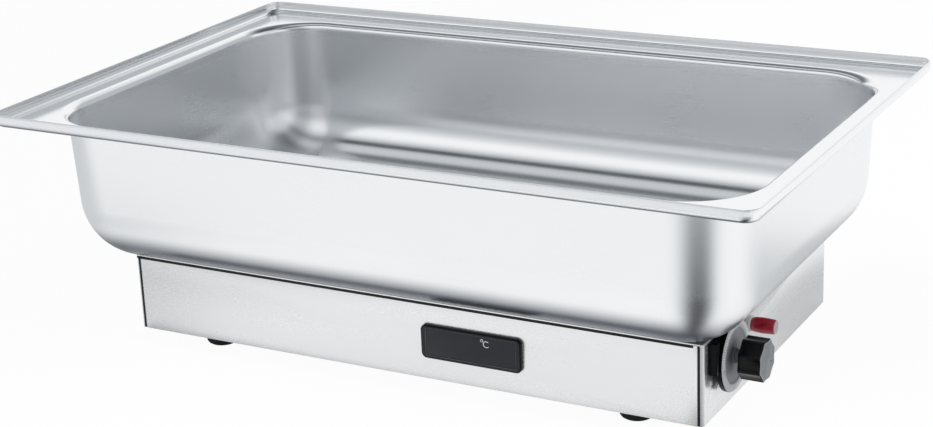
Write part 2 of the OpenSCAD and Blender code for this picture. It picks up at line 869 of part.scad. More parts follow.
// Display: frame with a shell through the panel, window, cell, board and rear cover
module display_frame() {
    color(black)
        difference() {
            union() {
                translate([display_cx, front, display_cz])
                    rotate([90, 0, 0])
                        linear_extrude(display_out)
                            round_rect(display_w / 2, display_h / 2, display_corner);
                display_box([front - 0.5, front + display_deep], shell_w, shell_h);
            }
            display_box([front - display_out - 1, front - display_out + recess], window_w, window_h);
            display_box([front - display_out, front + 1], sight_w, sight_h);
            display_box([front, front + display_deep + 1], shell_w - 2 * shell_t, shell_h - 2 * shell_t);
        }
}

module display_box(y, w, h) {
    block([display_cx - w / 2, display_cx + w / 2], y, [display_cz - h / 2, display_cz + h / 2]);
}

module display_window() {
    seat = front - display_out + recess;
    color([0.16, 0.17, 0.19])
        display_box([seat - window_t, seat], window_w - 2 * slip_fit, window_h - 2 * slip_fit);
}

module display_cell() {
    color([0.2, 0.22, 0.22])
        display_box([front - display_out + recess, front], cell_w, cell_h);
}

module display_board() {
    color([0.1, 0.35, 0.2])
        display_box([front, front + board_t], shell_w - 2 * shell_t - 2 * slip_fit,
                    shell_h - 2 * shell_t - 2 * slip_fit);
}

module display_cover() {
    color(black)
        display_box([front + display_deep, front + display_deep + shell_t], shell_w, shell_h);
}

// Side clips that draw the display's frame against the panel
module display_clips() {
    color(black)
        for (s = [-1, 1])
            translate([display_cx + s * (shell_w + clip_w) / 2, front + base_t, display_cz])
                translate([-clip_w / 2, 0, -clip_side / 2])
                    cube([clip_w, clip_side, clip_side]);
}

// Temperature probe of the display, clipped to the pan's underside
module temperature_probe() {
    color(dark_steel)
        rod_x([probe_x, probe_x + probe_l], channel_y, probe_z, probe_r);
}

// A clip round a rod under the pan
module under_clip(x) {
    wide = probe_r + clip_t;
    color(dark_steel)
        difference() {
            block([x - clip_l / 2, x + clip_l / 2], [channel_y - wide, channel_y + wide],
                  [probe_z - wide, pan_z]);
            rod_x([x - clip_l, x + clip_l], channel_y, probe_z, probe_r + run_fit);
        }
}

module probe_clip() {
    under_clip(probe_x + probe_l / 2);
}

module probe_lead() {
    color(black)
        tube(probe_route, lead_r);
}

// Moulded plate behind the dial, with a squared lug towards the front that ends in a wall
module control_plate() {
    color(black)
        difference() {
            union() {
                rod_x([right, right + plate_t], knob_y, knob_z, plate_r);
                block([right, right + plate_t], [lug_y, knob_y], [lug_z0, lug_z1]);
                block([right, right + lug_out], [lug_y, lug_y + lug_wall], [lug_z0, lug_z1]);
            }
            rod_x([right - 1, right + plate_t + 1], knob_y, knob_z, collar_r + hole_fit);
            dial_pegs([dial_x - peg_l - slip_fit, dial_x + 1], peg_r + slip_fit / 2);
            for (s = [-1, 1]) {
                rod_x([right - 1, right + plate_t + 1], knob_y + s * control_pitch / 2, knob_z,
                      screw_r + hole_fit);
                rod_x([right + plate_t - screw_head_t - head_sink, right + plate_t + 1],
                      knob_y + s * control_pitch / 2, knob_z, screw_head_r + hole_fit);
            }
        }
}

module control_screws() {
    seat = right + plate_t - screw_head_t - head_sink;
    color(dark_steel)
        for (s = [-1, 1]) {
            rod_x([seat, seat + screw_head_t], knob_y + s * control_pitch / 2, knob_z, screw_head_r);
            rod_x([right - base_t - control_screw_l, seat], knob_y + s * control_pitch / 2, knob_z, screw_r);
        }
}

module thermostat_body() {
    inside = right - base_t;
    color([0.75, 0.72, 0.65])
        difference() {
            union() {
                block([body_x, inside], [knob_y - body_w / 2, knob_y + body_w / 2],
                      [knob_z - body_w / 2, knob_z + body_w / 2]);
                rod_x([inside - 1, inside + collar_l], knob_y, knob_z, collar_r);
                for (s = [-1, 1])
                    block([body_tab, body_x],
                          [knob_y + s * body_tab_y - body_tab_w / 2,
                           knob_y + s * body_tab_y + body_tab_w / 2],
                          [body_tab_z - body_tab_t / 2, body_tab_z + body_tab_t / 2]);
            }
            rod_x([inside - spindle_in - spindle_gap, inside + collar_l + 1], knob_y, knob_z,
                  spindle_r + run_fit);
            for (s = [-1, 1])
                rod_x([inside - control_screw_l - screw_gap, inside + 1],
                      knob_y + s * control_pitch / 2, knob_z, screw_r + run_fit);
        }
}

module spindle() {
    color(brass)
        rod_x([right - base_t - spindle_in, spindle_end], knob_y, knob_z, spindle_r);
}

// Two pegs above and below the knob's axis, between two values of x
module dial_pegs(x, r) {
    for (s = [-1, 1])
        rod_x(x, knob_y, knob_z + s * peg_out, r);
}

// Fixed dial with a raised outer ring; two pegs hold it in the plate
module dial() {
    color([0.5, 0.51, 0.54]) {
        difference() {
            translate([dial_x, knob_y, knob_z])
                rotate([0, 90, 0])
                    cylinder(h = dial_t, r1 = dial_r - dial_draft, r2 = dial_r);
            rod_x([dial_face - dial_recess, dial_face + 1], knob_y, knob_z, dial_r - dial_ring);
            rod_x([dial_x - 1, dial_face + 1], knob_y, knob_z, spindle_r + hole_fit);
        }
        dial_pegs([dial_x - peg_l, dial_x + 1], peg_r);
    }
}

// Outline of the knob's grip, made smaller all round by inset
module knob_outline(inset) {
    difference() {
        circle(r = knob_r - inset);
        for (i = [0:knob_grips - 1])
            rotate(grip_turn + 360 * i / knob_grips)
                translate([knob_r - inset - grip_depth + grip_r, 0])
                    circle(r = grip_r);
    }
}

// A prism of that outline between two values of x
module knob_prism(x, inset) {
    translate([x[0], knob_y, knob_z])
        rotate([90, 0, 90])
            linear_extrude(x[1] - x[0])
                knob_outline(inset);
}

module knob_body() {
    color(black)
        difference() {
            union() {
                knob_prism([knob_x, knob_end], 0);
                rod_x([dial_face + dial_gap, knob_x + 1], knob_y, knob_z, neck_r);
            }
            knob_prism([knob_end - cap_t + cap_out, knob_end + 1], cap_in);
            rod_x([dial_face, spindle_end], knob_y, knob_z, spindle_r + run_fit / 2);
            rod_z(knob_x + grub_in, knob_y, [knob_z - knob_r, knob_z], grub_r + run_fit);
        }
}

module knob_cap() {
    color([0.5, 0.51, 0.53])
        knob_prism([knob_end - cap_t + cap_out, knob_end + cap_out], cap_in + slip_fit);
}

// Grub screw under the knob that holds it on the spindle
module knob_screw() {
    color(dark_steel)
        rod_z(knob_x + grub_in, knob_y, [knob_z - spindle_r - grub_l, knob_z - spindle_r], grub_r);
}

// Sensing bulb of the thermostat, with its clip and capillary
module sensing_bulb() {
    color(copper)
        rod_x([bulb_x, bulb_x + bulb_l], channel_y, probe_z, probe_r);
}

module bulb_clip() {
    under_clip(bulb_x + bulb_l / 2);
}

module capillary() {
    color(copper)
        tube(capillary_route, capillary_r);
}

// Pilot lamp: a hollow red lens on a socket, held by a nut inside the panel
module lamp_lens() {
    base = right + lamp_flange_t;
    color([0.65, 0.1, 0.18])
        difference() {
            rod_x([base, base + lamp_l], lamp_y, lamp_z, lamp_r);
            rod_x([base - 1, base + lamp_l - lens_end], lamp_y, lamp_z, lamp_r - lens_wall);
        }
}

module lamp_socket() {
    color([0.85, 0.83, 0.78])
        difference() {
            union() {
                rod_x([right, right + lamp_flange_t], lamp_y, lamp_z, lamp_r + lamp_lap);
                rod_x([right - lamp_thread_l, right], lamp_y, lamp_z, lamp_thread_r);
            }
            rod_x([right - bulb_in, right + lamp_flange_t + 1], lamp_y, lamp_z, bulb_glass_r + run_fit);
        }
}

module lamp_nut() {
    color(dark_steel)
        translate([right - base_t - lamp_nut_t, lamp_y, lamp_z])
            rotate([0, 90, 0])
                difference() {
                    hexagon(lamp_nut_af, lamp_nut_t);
                    translate([0, 0, -1])
                        cylinder(h = lamp_nut_t + 2, r = lamp_thread_r + run_fit);
                }
}

module lamp_bulb() {
    color([0.95, 0.6, 0.4])
        rod_x([right - bulb_in, right + bulb_out], lamp_y, lamp_z, bulb_glass_r);
}

// Aluminium plate between the pan and the heating tube
module heat_spreader() {
    color([0.75, 0.76, 0.78])
        difference() {
            block([spread_x0, spread_x1], [spread_y0, spread_y1], [spread_z, pan_z]);
            stud_holes(bar_stud_spots);
        }
}

// One half turn of the heating tube
module tube_turn(x, y, turn) {
    translate([x, y, tube_z])
        rotate([0, 0, turn])
            rotate_extrude(angle = 180)
                translate([run_y, 0])
                    circle(r = tube_r);
}

module heating_element() {
    color(dark_steel) {
        for (s = [-1, 1]) {
            rod_x([tube_x0, tube_end], base_y + s * 3 * run_y, tube_z, tube_r);
            rod_x([tube_x0, tube_x1], base_y + s * run_y, tube_z, tube_r);
            rod_x([tube_end, tube_end + pin_len], base_y + s * 3 * run_y, tube_z, pin_r);
            tube_turn(tube_x0, base_y + s * 2 * run_y, 90);
        }
        tube_turn(tube_x1, base_y, -90);
    }
}

module clamp_bars() {
    color(steel)
        difference() {
            for (i = [-1:1])
                block([base_x + i * bar_pitch - bar_w / 2, base_x + i * bar_pitch + bar_w / 2],
                      [base_y - bar_half, base_y + bar_half], [bar_top - bar_t, bar_top]);
            stud_holes(bar_stud_spots);
        }
}

module pan_studs() {
    color(dark_steel)
        for (p = concat(pan_stud_spots, bar_stud_spots))
            rod_z(p.x, p.y, [pan_z - stud_len, pan_z], stud_r);
}

// Nuts with the studs through them
module stud_nut(p, top) {
    translate([p.x, p.y, top - stud_nut_t])
        difference() {
            hexagon(stud_nut_af, stud_nut_t);
            translate([0, 0, -1])
                cylinder(h = stud_nut_t + 2, r = stud_r + run_fit);
        }
}

module stud_nuts() {
    color(dark_steel) {
        for (p = pan_stud_spots)
            stud_nut(p, base_top - base_t - washer_t);
        for (p = bar_stud_spots)
            stud_nut(p, bar_top - bar_t);
    }
}

module stud_washers() {
    color(dark_steel)
        for (p = pan_stud_spots)
            translate([p.x, p.y, base_top - base_t - washer_t])
                difference() {
                    cylinder(h = washer_t, r = washer_r);
                    translate([0, 0, -1])
                        cylinder(h = washer_t + 2, r = stud_r + hole_fit);
                }
}

// Thermal cut-out against the spreader, with a tab at front and back
module thermal_cutout() {
    tab_half = 2.5;
    tab_t = 0.8;
    color([0.8, 0.78, 0.72]) {
        rod_z(cutout_x, base_y, [spread_z - cutout_t, spread_z], cutout_r);
        block([cutout_x - tab_half, cutout_x + tab_half], [base_y - cutout_tab, base_y + cutout_tab],
              [cutout_z - tab_t / 2, cutout_z + tab_t / 2]);
    }
}

module insulation_pad() {
    color([0.9, 0.87, 0.75])
        block([base_x - pad_x, base_x + pad_x], [base_y - pad_y, base_y + pad_y],
              [floor_z, floor_z + pad_h]);
}

// Bright tray turned over the pad, with four lugs screwed to the bottom plate
module reflector_tray() {
    x = pad_x + tray_t;
    y = pad_y + tray_t;
    color([0.8, 0.81, 0.82])
        difference() {
            union() {
                block([base_x - x, base_x + x], [base_y - y, base_y + y],
                      [floor_z, floor_z + pad_h + tray_t]);
                for (p = tray_spots)
                    block([p.x - tray_lug / 2, p.x + tray_lug / 2],
                          [p.y - tray_lug_w / 2, p.y + tray_lug_w / 2], [floor_z, floor_z + tray_t]);
            }
            block([base_x - pad_x, base_x + pad_x], [base_y - pad_y, base_y + pad_y],
                  [floor_z - 1, floor_z + pad_h]);
            for (p = tray_spots)
                rod_z(p.x, p.y, [floor_z - 1, floor_z + tray_t + 1], screw_r + hole_fit);
        }
}

// Power inlet: a socket with three pins, screwed to the back panel
module inlet_box(y, w, h) {
    block([inlet_cx - w / 2, inlet_cx + w / 2], y, [inlet_cz - h / 2, inlet_cz + h / 2]);
}

module inlet_socket() {
    plate_w = inlet_pitch + inlet_past;
    color(black)
        difference() {
            union() {
                translate([inlet_cx, back + inlet_flange_t, inlet_cz])
                    rotate([90, 0, 0])
                        linear_extrude(inlet_flange_t)
                            round_rect(plate_w / 2, inlet_h / 2 + inlet_lap, inlet_corner);
                inlet_box([back - inlet_deep, back + 0.5], inlet_w, inlet_h);
            }
            inlet_box([back - inlet_deep + inlet_floor, back + inlet_flange_t + 1],
                      inlet_w - 2 * inlet_wall, inlet_h - 2 * inlet_wall);
            inlet_blades([back - inlet_deep - 1, back], slip_fit / 2);
            for (x = inlet_spots)
                rod_y(x, [back - 1, back + inlet_flange_t + 1], inlet_cz, inlet_screw_r + hole_fit);
        }
}

// The three blades, each made larger by the same amount on every side
module inlet_blades(y, more) {
    for (s = [-1, 1])
        block([inlet_cx + s * blade_pitch - 1 - more, inlet_cx + s * blade_pitch + 1 + more], y,
              [inlet_cz - blade_drop - 2 - more, inlet_cz - blade_drop + 2 + more]);
    block([inlet_cx - 1 - more, inlet_cx + 1 + more], y,
          [inlet_cz + earth_rise - more, inlet_cz + earth_rise + 4 + more]);
}

module inlet_pins() {
    color(brass)
        inlet_blades([back - inlet_deep - tab_l, back + inlet_flange_t - pin_short], 0);
}

module inlet_screws() {
    face = back + inlet_flange_t;
    color(dark_steel)
        for (x = inlet_spots) {
            rod_y(x, [back - base_t - inlet_nut_t - screw_past, face], inlet_cz, inlet_screw_r);
            rod_y(x, [face, face + inlet_head_t], inlet_cz, inlet_head_r);
        }
}

module inlet_nuts() {
    color(dark_steel)
        for (x = inlet_spots)
            translate([x, back - base_t, inlet_cz])
                rotate([90, 0, 0])
                    difference() {
                        hexagon(inlet_nut_af, inlet_nut_t);
                        translate([0, 0, -1])
                            cylinder(h = inlet_nut_t + 2, r = inlet_screw_r + run_fit);
                    }
}

// Ceramic terminal block with three poles
module terminal_block() {
    color([0.93, 0.92, 0.88])
        difference() {
            translate([block_x, block_y, floor_z])
                cube(block_size);
            for (i = [0:2])
                rod_z(pole_x[i], block_y + block_size.y / 2,
                      [floor_z + block_size.z - pole_deep, floor_z + block_size.z + 1], pole_r);
        }
}

module earth_stud() {
    color(brass) {
        rod_z(earth_x, earth_y, [floor_z, floor_z + earth_h], screw_r);
        for (z = [floor_z, floor_z + earth_nut_t + lug_gap])
            translate([earth_x, earth_y, z])
                hexagon(plate_nut_af, earth_nut_t);
    }
}

module wires() {
    color([0.7, 0.68, 0.62])
        for (route = wire_routes)
            tube(route, wire_r);
}

water_pan();
seat_rail_front();
seat_rail_back();
seat_rail_left();
seat_rail_right();
front_panel();
back_panel();
left_panel();
right_panel();
corner_brackets();
front_seal();
back_seal();
bottom_plate();
base_screws();
foot_front_left();
foot_front_right();
foot_back_left();
foot_back_right();
foot_screws();
plate_nuts();
display_frame();
display_window();
display_cell();
display_board();
display_cover();
display_clips();
temperature_probe();
probe_clip();
probe_lead();
control_plate();
control_screws();
thermostat_body();
spindle();
dial();
knob_body();
knob_cap();
knob_screw();
sensing_bulb();
bulb_clip();
capillary();
lamp_lens();
lamp_socket();
lamp_nut();
lamp_bulb();
heat_spreader();
heating_element();
clamp_bars();
pan_studs();
stud_nuts();
stud_washers();
thermal_cutout();
insulation_pad();
reflector_tray();
inlet_socket();
inlet_pins();
inlet_screws();
inlet_nuts();
terminal_block();
earth_stud();
wires();
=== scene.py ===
import json
import math

import bmesh
import bpy
from mathutils import Matrix, Vector

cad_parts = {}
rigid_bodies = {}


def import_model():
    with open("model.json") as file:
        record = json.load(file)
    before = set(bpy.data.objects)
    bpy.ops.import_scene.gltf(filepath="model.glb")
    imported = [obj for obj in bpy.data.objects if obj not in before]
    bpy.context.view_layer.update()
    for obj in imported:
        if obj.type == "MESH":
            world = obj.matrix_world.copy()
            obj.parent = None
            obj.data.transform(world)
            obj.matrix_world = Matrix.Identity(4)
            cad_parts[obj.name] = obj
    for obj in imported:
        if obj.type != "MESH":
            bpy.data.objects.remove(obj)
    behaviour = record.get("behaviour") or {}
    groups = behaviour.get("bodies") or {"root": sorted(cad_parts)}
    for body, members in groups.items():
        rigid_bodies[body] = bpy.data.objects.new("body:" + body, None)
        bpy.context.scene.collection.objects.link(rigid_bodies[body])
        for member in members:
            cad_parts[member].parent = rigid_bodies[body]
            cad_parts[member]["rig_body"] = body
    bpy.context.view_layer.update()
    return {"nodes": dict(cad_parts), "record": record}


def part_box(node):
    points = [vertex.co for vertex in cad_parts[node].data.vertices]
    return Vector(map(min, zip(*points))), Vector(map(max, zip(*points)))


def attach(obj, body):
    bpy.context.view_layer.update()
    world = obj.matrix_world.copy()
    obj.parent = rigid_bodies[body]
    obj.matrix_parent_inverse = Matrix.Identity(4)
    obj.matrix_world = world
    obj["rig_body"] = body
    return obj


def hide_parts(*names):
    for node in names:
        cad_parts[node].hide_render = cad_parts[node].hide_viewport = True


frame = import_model()
mm = 0.001
weld = 2e-6  # metres, points nearer than this are one point
slack = 0.05  # millimetres, what a test for faces on a plane lets past
scene = bpy.context.scene


def point(x, y, z):
    return Vector((x, y, z)) * mm


# camera at the photograph's angle
view = {
    "eye": point(656.2, -1200.7, 556.8),
    "target": point(-5.5, 0, 84.7),
    "roll": math.radians(-2.37),
    "sensor": 36,  # millimetres
    "focal": 2023 / 933,  # in widths of the sensor
}


def aimCamera():
    forward = (view["target"] - view["eye"]).normalized()
    side = forward.cross(Vector((0, 0, 1))).normalized()
    up = side.cross(forward)
    turn, lift = math.cos(view["roll"]), math.sin(view["roll"])
    right = side * turn + up * lift
    top = up * turn - side * lift
    camera = bpy.data.cameras.new("camera")
    camera.lens = view["focal"] * view["sensor"]
    camera.sensor_width = view["sensor"]
    holder = bpy.data.objects.new("camera", camera)
    scene.collection.objects.link(holder)
    holder.matrix_world = Matrix((
        (right.x, top.x, -forward.x, view["eye"].x),
        (right.y, top.y, -forward.y, view["eye"].y),
        (right.z, top.z, -forward.z, view["eye"].z),
        (0, 0, 0, 1)))
    scene.camera = holder


aimCamera()
scene.view_settings.view_transform = "Standard"


# sockets that add and multiply, so that node trees read as plain sums
class Wire:
    def __init__(self, maker, socket):
        self.maker, self.socket = maker, socket

    def sum(self, operation, first, second):
        return self.maker.node("ShaderNodeMath", {"operation": operation}, {0: first, 1: second})

    def __add__(self, other):
        return self.sum("ADD", self, other)

    def __radd__(self, other):
        return self.sum("ADD", other, self)

    def __sub__(self, other):
        return self.sum("SUBTRACT", self, other)

    def __rsub__(self, other):
        return self.sum("SUBTRACT", other, self)

    def __mul__(self, other):
        return self.sum("MULTIPLY", self, other)

    def __truediv__(self, other):
        return self.sum("DIVIDE", self, other)

    def __pow__(self, other):
        return self.sum("POWER", self, other)

    def magnitude(self):
        return self.sum("ABSOLUTE", self, 0.0)

    def most(self, other):
        return self.sum("MAXIMUM", self, other)

    def rises(self, low, high):
        # 0 below low, 1 above high and a soft step between them
        return self.maker.node("ShaderNodeMapRange", {"interpolation_type": "SMOOTHSTEP"}, {
            "Value": self, "From Min": low, "From Max": high})

    def risesOver(self, span):
        # the same between two lengths in millimetres
        return self.rises(span[0] * mm, span[1] * mm)

    def spread(self, depth):
        # a noise's swing about its middle
        return (self - 0.5) * depth


class Finish:
    def __init__(self, holder):
        holder.use_nodes = True
        self.holder = holder
        self.tree = holder.node_tree
        self.tree.nodes.clear()

    def node(self, kind, settings=None, sockets=None, output=0):
        made = self.tree.nodes.new(kind)
        for name, value in (settings or {}).items():
            setattr(made, name, value)
        for name, value in (sockets or {}).items():
            if isinstance(value, Wire):
                self.tree.links.new(value.socket, made.inputs[name])
            else:
                made.inputs[name].default_value = value
        return Wire(self, made.outputs[output]) if made.outputs else None

    def place(self, scale=(1, 1, 1)):
        coords = self.node("ShaderNodeTexCoord", output="Object")
        return self.node("ShaderNodeMapping", {}, {"Vector": coords, "Scale": scale})

    def axes(self, vector):
        parts = self.node("ShaderNodeSeparateXYZ", {}, {0: vector})
        return [Wire(self, out) for out in parts.socket.node.outputs]

    def facing(self):
        # how far the surface looks to the right, to the back and up, each from -1 to 1
        return self.axes(self.node("ShaderNodeTexCoord", output="Normal"))

    def noise(self, size, detail=2, rough=0.5, stretch=(1, 1, 1)):
        # size is the blobs' size in millimetres, stretch makes them longer
        scale = tuple(1 / (size * mm * long) for long in stretch)
        return self.node("ShaderNodeTexNoise", {}, {
            "Vector": self.place(scale), "Scale": 1.0, "Detail": detail, "Roughness": rough})

    def ramp(self, value, stops):
        # a grey level for each place from 0 to 1
        made = self.node("ShaderNodeValToRGB", {}, {0: value})
        elements = made.socket.node.color_ramp.elements
        while len(elements) < len(stops):
            elements.new(0.5)
        for element, (place, level) in zip(elements, stops):
            element.position = place
            element.color = (level, level, level, 1)
        return made

    def blend(self, value, first, second, span=(0.3, 0.7)):
        # the first colour where the value is at the span's start, the second at its end
        factor = self.node("ShaderNodeMapRange", {}, {
            "Value": value, "From Min": span[0], "From Max": span[1]})
        return self.tint(factor, first, second)

    def tint(self, factor, first, second):
        sockets = {0: factor}
        for index, shade in ((6, first), (7, second)):
            sockets[index] = shade if isinstance(shade, Wire) else (*shade, 1)
        return self.node("ShaderNodeMix", {"data_type": "RGBA"}, sockets, output=2)

    def bump(self, height, depth):
        # depth is in millimetres
        return self.node("ShaderNodeBump", {}, {"Height": height, "Distance": depth * mm})

    def close(self, sockets):
        shader = self.node("ShaderNodeBsdfPrincipled", {}, sockets)
        self.node("ShaderNodeOutputMaterial", {}, {"Surface": shader})
        return self.holder


def newFinish(name):
    return Finish(bpy.data.materials.new(name))


# each pair is a soft step, in millimetres or in shares of the surface's normal
satin = {
    "wallFoot": (80, 115), "wallTop": (160, 170), "ends": (185, 215), "lip": (173.5, 175),
    "under": (0.33, 0.72), "rightEnd": (0.35, 0.75), "front": (0.6, 0.9),
    "smooth": 0.15, "moreOnWalls": 0.13, "moreUnder": 0.1, "rightShare": 0.5, "lipShare": 0.55,
}


def satinSteel():
    # deep-drawn pan: satin walls with faint clouds and a fine grain, smoother rim and bottom radius
    made = newFinish("satinSteel")
    x, _, z = made.axes(made.place())
    right, back, up = made.facing()
    walls = z.risesOver(satin["wallFoot"]).most(x.magnitude().risesOver(satin["ends"])) \
        * (1 - z.risesOver(satin["wallTop"]))
    # the underside of the bottom radius is rougher and has painted shade, a dark tint where it looks down,
    # both less so at the right end
    under = (up * -1).rises(*satin["under"]) * (1 - right.rises(*satin["rightEnd"]) * satin["rightShare"])
    # painted sheen: the lip's faces towards the front are made less of a mirror, so they show whiter
    frontLipSheen = z.risesOver(satin["lip"]) * (back * -1).rises(*satin["front"])
    grain = made.noise(0.4)
    clouds = made.noise(70)
    lines = made.noise(0.8, stretch=(25, 25, 1))
    rough = satin["smooth"] + walls * satin["moreOnWalls"] + under * satin["moreUnder"] \
        + clouds.spread(0.04) + lines.spread(0.01) + grain.spread(0.02)
    shade = made.blend(clouds, (0.90, 0.912, 0.928), (0.915, 0.925, 0.937))
    # painted shade: the underside of the bottom radius is tinted dark
    shade = made.tint(under, shade, (0.125, 0.145, 0.175))
    return made.close({"Base Color": shade, "Metallic": 1 - frontLipSheen * satin["lipShare"], "Roughness": rough,
                       "Normal": made.bump(grain, 0.00015)})


# steps of the normal where a panel bends, and how much of a mirror it is flat and in a bend
sheetMetal = {"bend": (0.1, 0.3), "mirror": 0.82, "lessInBend": 0.7}


def brightSteel():
    # base panels: bright rolled sheet with a very fine level grain
    made = newFinish("brightSteel")
    grain = made.noise(0.3, stretch=(25, 25, 1))
    sheet = made.noise(16, stretch=(8, 8, 1))
    rough = 0.27 + sheet.spread(0.03) + grain.spread(0.02)
    shade = made.blend(sheet, (0.90, 0.903, 0.908), (0.915, 0.918, 0.922))
    # painted highlight: the bends are made whiter and less of a mirror
    right, back, _ = made.facing()
    bendHighlight = right.magnitude().rises(*sheetMetal["bend"]) * back.magnitude().rises(*sheetMetal["bend"])
    mirror = sheetMetal["mirror"] - bendHighlight * sheetMetal["lessInBend"]
    return made.close({"Base Color": shade, "Metallic": mirror, "Roughness": rough,
                       "Normal": made.bump(grain, 0.0002)})


def zincSteel():
    # galvanised sheet, with crystals a little over a millimetre wide
    made = newFinish("zincSteel")
    spangle = made.node("ShaderNodeTexVoronoi", {}, {
        "Vector": made.place((900, 900, 900)), "Scale": 1.0})
    grain = made.noise(0.6, detail=3, rough=0.6)
    shade = made.blend(spangle, (0.55, 0.57, 0.6), (0.66, 0.67, 0.68), span=(0, 0.9))
    return made.close({"Base Color": shade, "Metallic": 1.0, "Roughness": 0.32 + grain.spread(0.15),
                       "Normal": made.bump(grain, 0.02)})


def blackRubber():
    made = newFinish("blackRubber")
    grain = made.noise(0.5, detail=3, rough=0.7)
    dust = made.noise(6, detail=3, rough=0.6)
    shade = made.blend(dust, (0.010, 0.010, 0.011), (0.020, 0.020, 0.021), span=(0.35, 0.75))
    return made.close({"Base Color": shade, "Roughness": 0.62 + grain.spread(0.2),
                       "Specular IOR Level": 0.35, "Normal": made.bump(grain, 0.03)})


def blackPlastic():
    made = newFinish("blackPlastic")
    grain = made.noise(0.28, rough=0.6)
    flow = made.noise(12)
    shade = made.blend(flow, (0.0040, 0.0043, 0.0050), (0.0060, 0.0064, 0.0072))
    return made.close({"Base Color": shade, "Roughness": 0.30 + flow.spread(0.08) + grain.spread(0.1),
                       "Specular IOR Level": 0.12, "Normal": made.bump(grain, 0.008)})


def glossPlastic():
    made = newFinish("glossPlastic")
    flow = made.noise(8, detail=3)
    grain = made.noise(0.4)
    shade = made.blend(flow, (0.0028, 0.0032, 0.0036), (0.0042, 0.0047, 0.0052))
    return made.close({"Base Color": shade, "Roughness": 0.20 + flow.spread(0.08),
                       "Specular IOR Level": 0.16, "Normal": made.bump(grain, 0.004)})


def dialGrey():
    made = newFinish("dialGrey")
    grain = made.noise(0.3, rough=0.6)
    clouds = made.noise(7, detail=3)
    shade = made.blend(clouds, (0.215, 0.222, 0.245), (0.26, 0.268, 0.292))
    return made.close({"Base Color": shade, "Metallic": 0.1, "Roughness": 0.42 + grain.spread(0.12),
                       "Normal": made.bump(grain, 0.01)})


def dialSilver():
    made = newFinish("dialSilver")
    grain = made.noise(0.25, rough=0.6)
    shade = made.blend(grain, (0.47, 0.48, 0.50), (0.55, 0.56, 0.58))
    return made.close({"Base Color": shade, "Metallic": 0.3, "Roughness": 0.38 + grain.spread(0.14),
                       "Normal": made.bump(grain, 0.01)})


def printWhite():
    made = newFinish("printWhite")
    grain = made.noise(0.2, rough=0.6)
    shade = made.blend(grain, (0.80, 0.81, 0.82), (0.92, 0.92, 0.92), span=(0.3, 0.8))
    return made.close({"Base Color": shade, "Roughness": 0.5 + grain.spread(0.1)})


def frameFace():
    # the display frame's front and the painted highlight on its window's rounded edge share a fine moulded
    # grain
    made = newFinish("frameFace")
    grain = made.noise(0.3, rough=0.6)
    haze = made.noise(15)
    shade = made.blend(haze, (0.030, 0.033, 0.038), (0.037, 0.040, 0.046))
    return made.close({"Base Color": shade, "Roughness": 0.34 + grain.spread(0.12),
                       "Specular IOR Level": 0.15, "Normal": made.bump(grain, 0.006)})


def edgeHighlight():
    # painted highlight: lighter grey for the rounded edge round the display window and the foot of the knob's
    # grips
    made = newFinish("edgeHighlight")
    grain = made.noise(0.3, rough=0.6)
    shade = made.blend(grain, (0.10, 0.107, 0.118), (0.135, 0.142, 0.152))
    return made.close({"Base Color": shade, "Roughness": 0.36 + grain.spread(0.1)})


def lensEnd():
    made = newFinish("lensEnd")
    frost = made.noise(0.6, detail=3, rough=0.6)
    shade = made.blend(frost, (0.42, 0.33, 0.36), (0.52, 0.43, 0.46))
    return made.close({"Base Color": shade, "Roughness": 0.35 + frost.spread(0.15),
                       "Normal": made.bump(frost, 0.01)})


def capMetal():
    made = newFinish("capMetal")
    lines = made.noise(0.22, rough=0.6, stretch=(1, 40, 1))
    clouds = made.noise(9)
    shade = made.blend(clouds, (0.19, 0.20, 0.21), (0.235, 0.245, 0.255))
    return made.close({"Base Color": shade, "Metallic": 0.55, "Roughness": 0.36 + lines.spread(0.15),
                       "Normal": made.bump(lines, 0.006)})


def smokedWindow():
    made = newFinish("smokedWindow")
    haze = made.noise(20)
    grain = made.noise(0.5)
    shade = made.blend(haze, (0.031, 0.034, 0.040), (0.037, 0.041, 0.047))
    return made.close({"Base Color": shade, "Roughness": 0.16 + haze.spread(0.06),
                       "Specular IOR Level": 0.2, "Normal": made.bump(grain, 0.002)})


def cellGlass():
    made = newFinish("cellGlass")
    haze = made.noise(5)
    shade = made.blend(haze, (0.030, 0.036, 0.036), (0.040, 0.046, 0.046))
    return made.close({"Base Color": shade, "Roughness": 0.12 + haze.spread(0.05)})


def boardGreen():
    made = newFinish("boardGreen")
    weave = made.noise(0.4)
    copperAreas = made.noise(3)
    shade = made.blend(copperAreas, (0.012, 0.09, 0.03), (0.02, 0.13, 0.045), span=(0.45, 0.55))
    return made.close({"Base Color": shade, "Roughness": 0.35 + weave.spread(0.2),
                       "Normal": made.bump(weave, 0.02)})


def leadSleeve():
    made = newFinish("leadSleeve")
    grain = made.noise(0.8)
    shade = made.blend(grain, (0.55, 0.53, 0.47), (0.65, 0.63, 0.57))
    return made.close({"Base Color": shade, "Roughness": 0.5 + grain.spread(0.15),
                       "Normal": made.bump(grain, 0.02)})


def redCopper():
    made = newFinish("redCopper")
    tarnish = made.noise(6, detail=3, rough=0.6)
    grain = made.noise(0.4)
    shade = made.blend(tarnish, (0.72, 0.36, 0.22), (0.52, 0.25, 0.15), span=(0.35, 0.7))
    return made.close({"Base Color": shade, "Metallic": 1.0, "Roughness": 0.3 + tarnish.spread(0.2),
                       "Normal": made.bump(grain, 0.01)})


def yellowBrass():
    made = newFinish("yellowBrass")
    tarnish = made.noise(4, detail=3, rough=0.6)
    grain = made.noise(0.4)
    shade = made.blend(tarnish, (0.72, 0.55, 0.25), (0.55, 0.41, 0.19), span=(0.35, 0.7))
    return made.close({"Base Color": shade, "Metallic": 1.0, "Roughness": 0.3 + tarnish.spread(0.15),
                       "Normal": made.bump(grain, 0.01)})


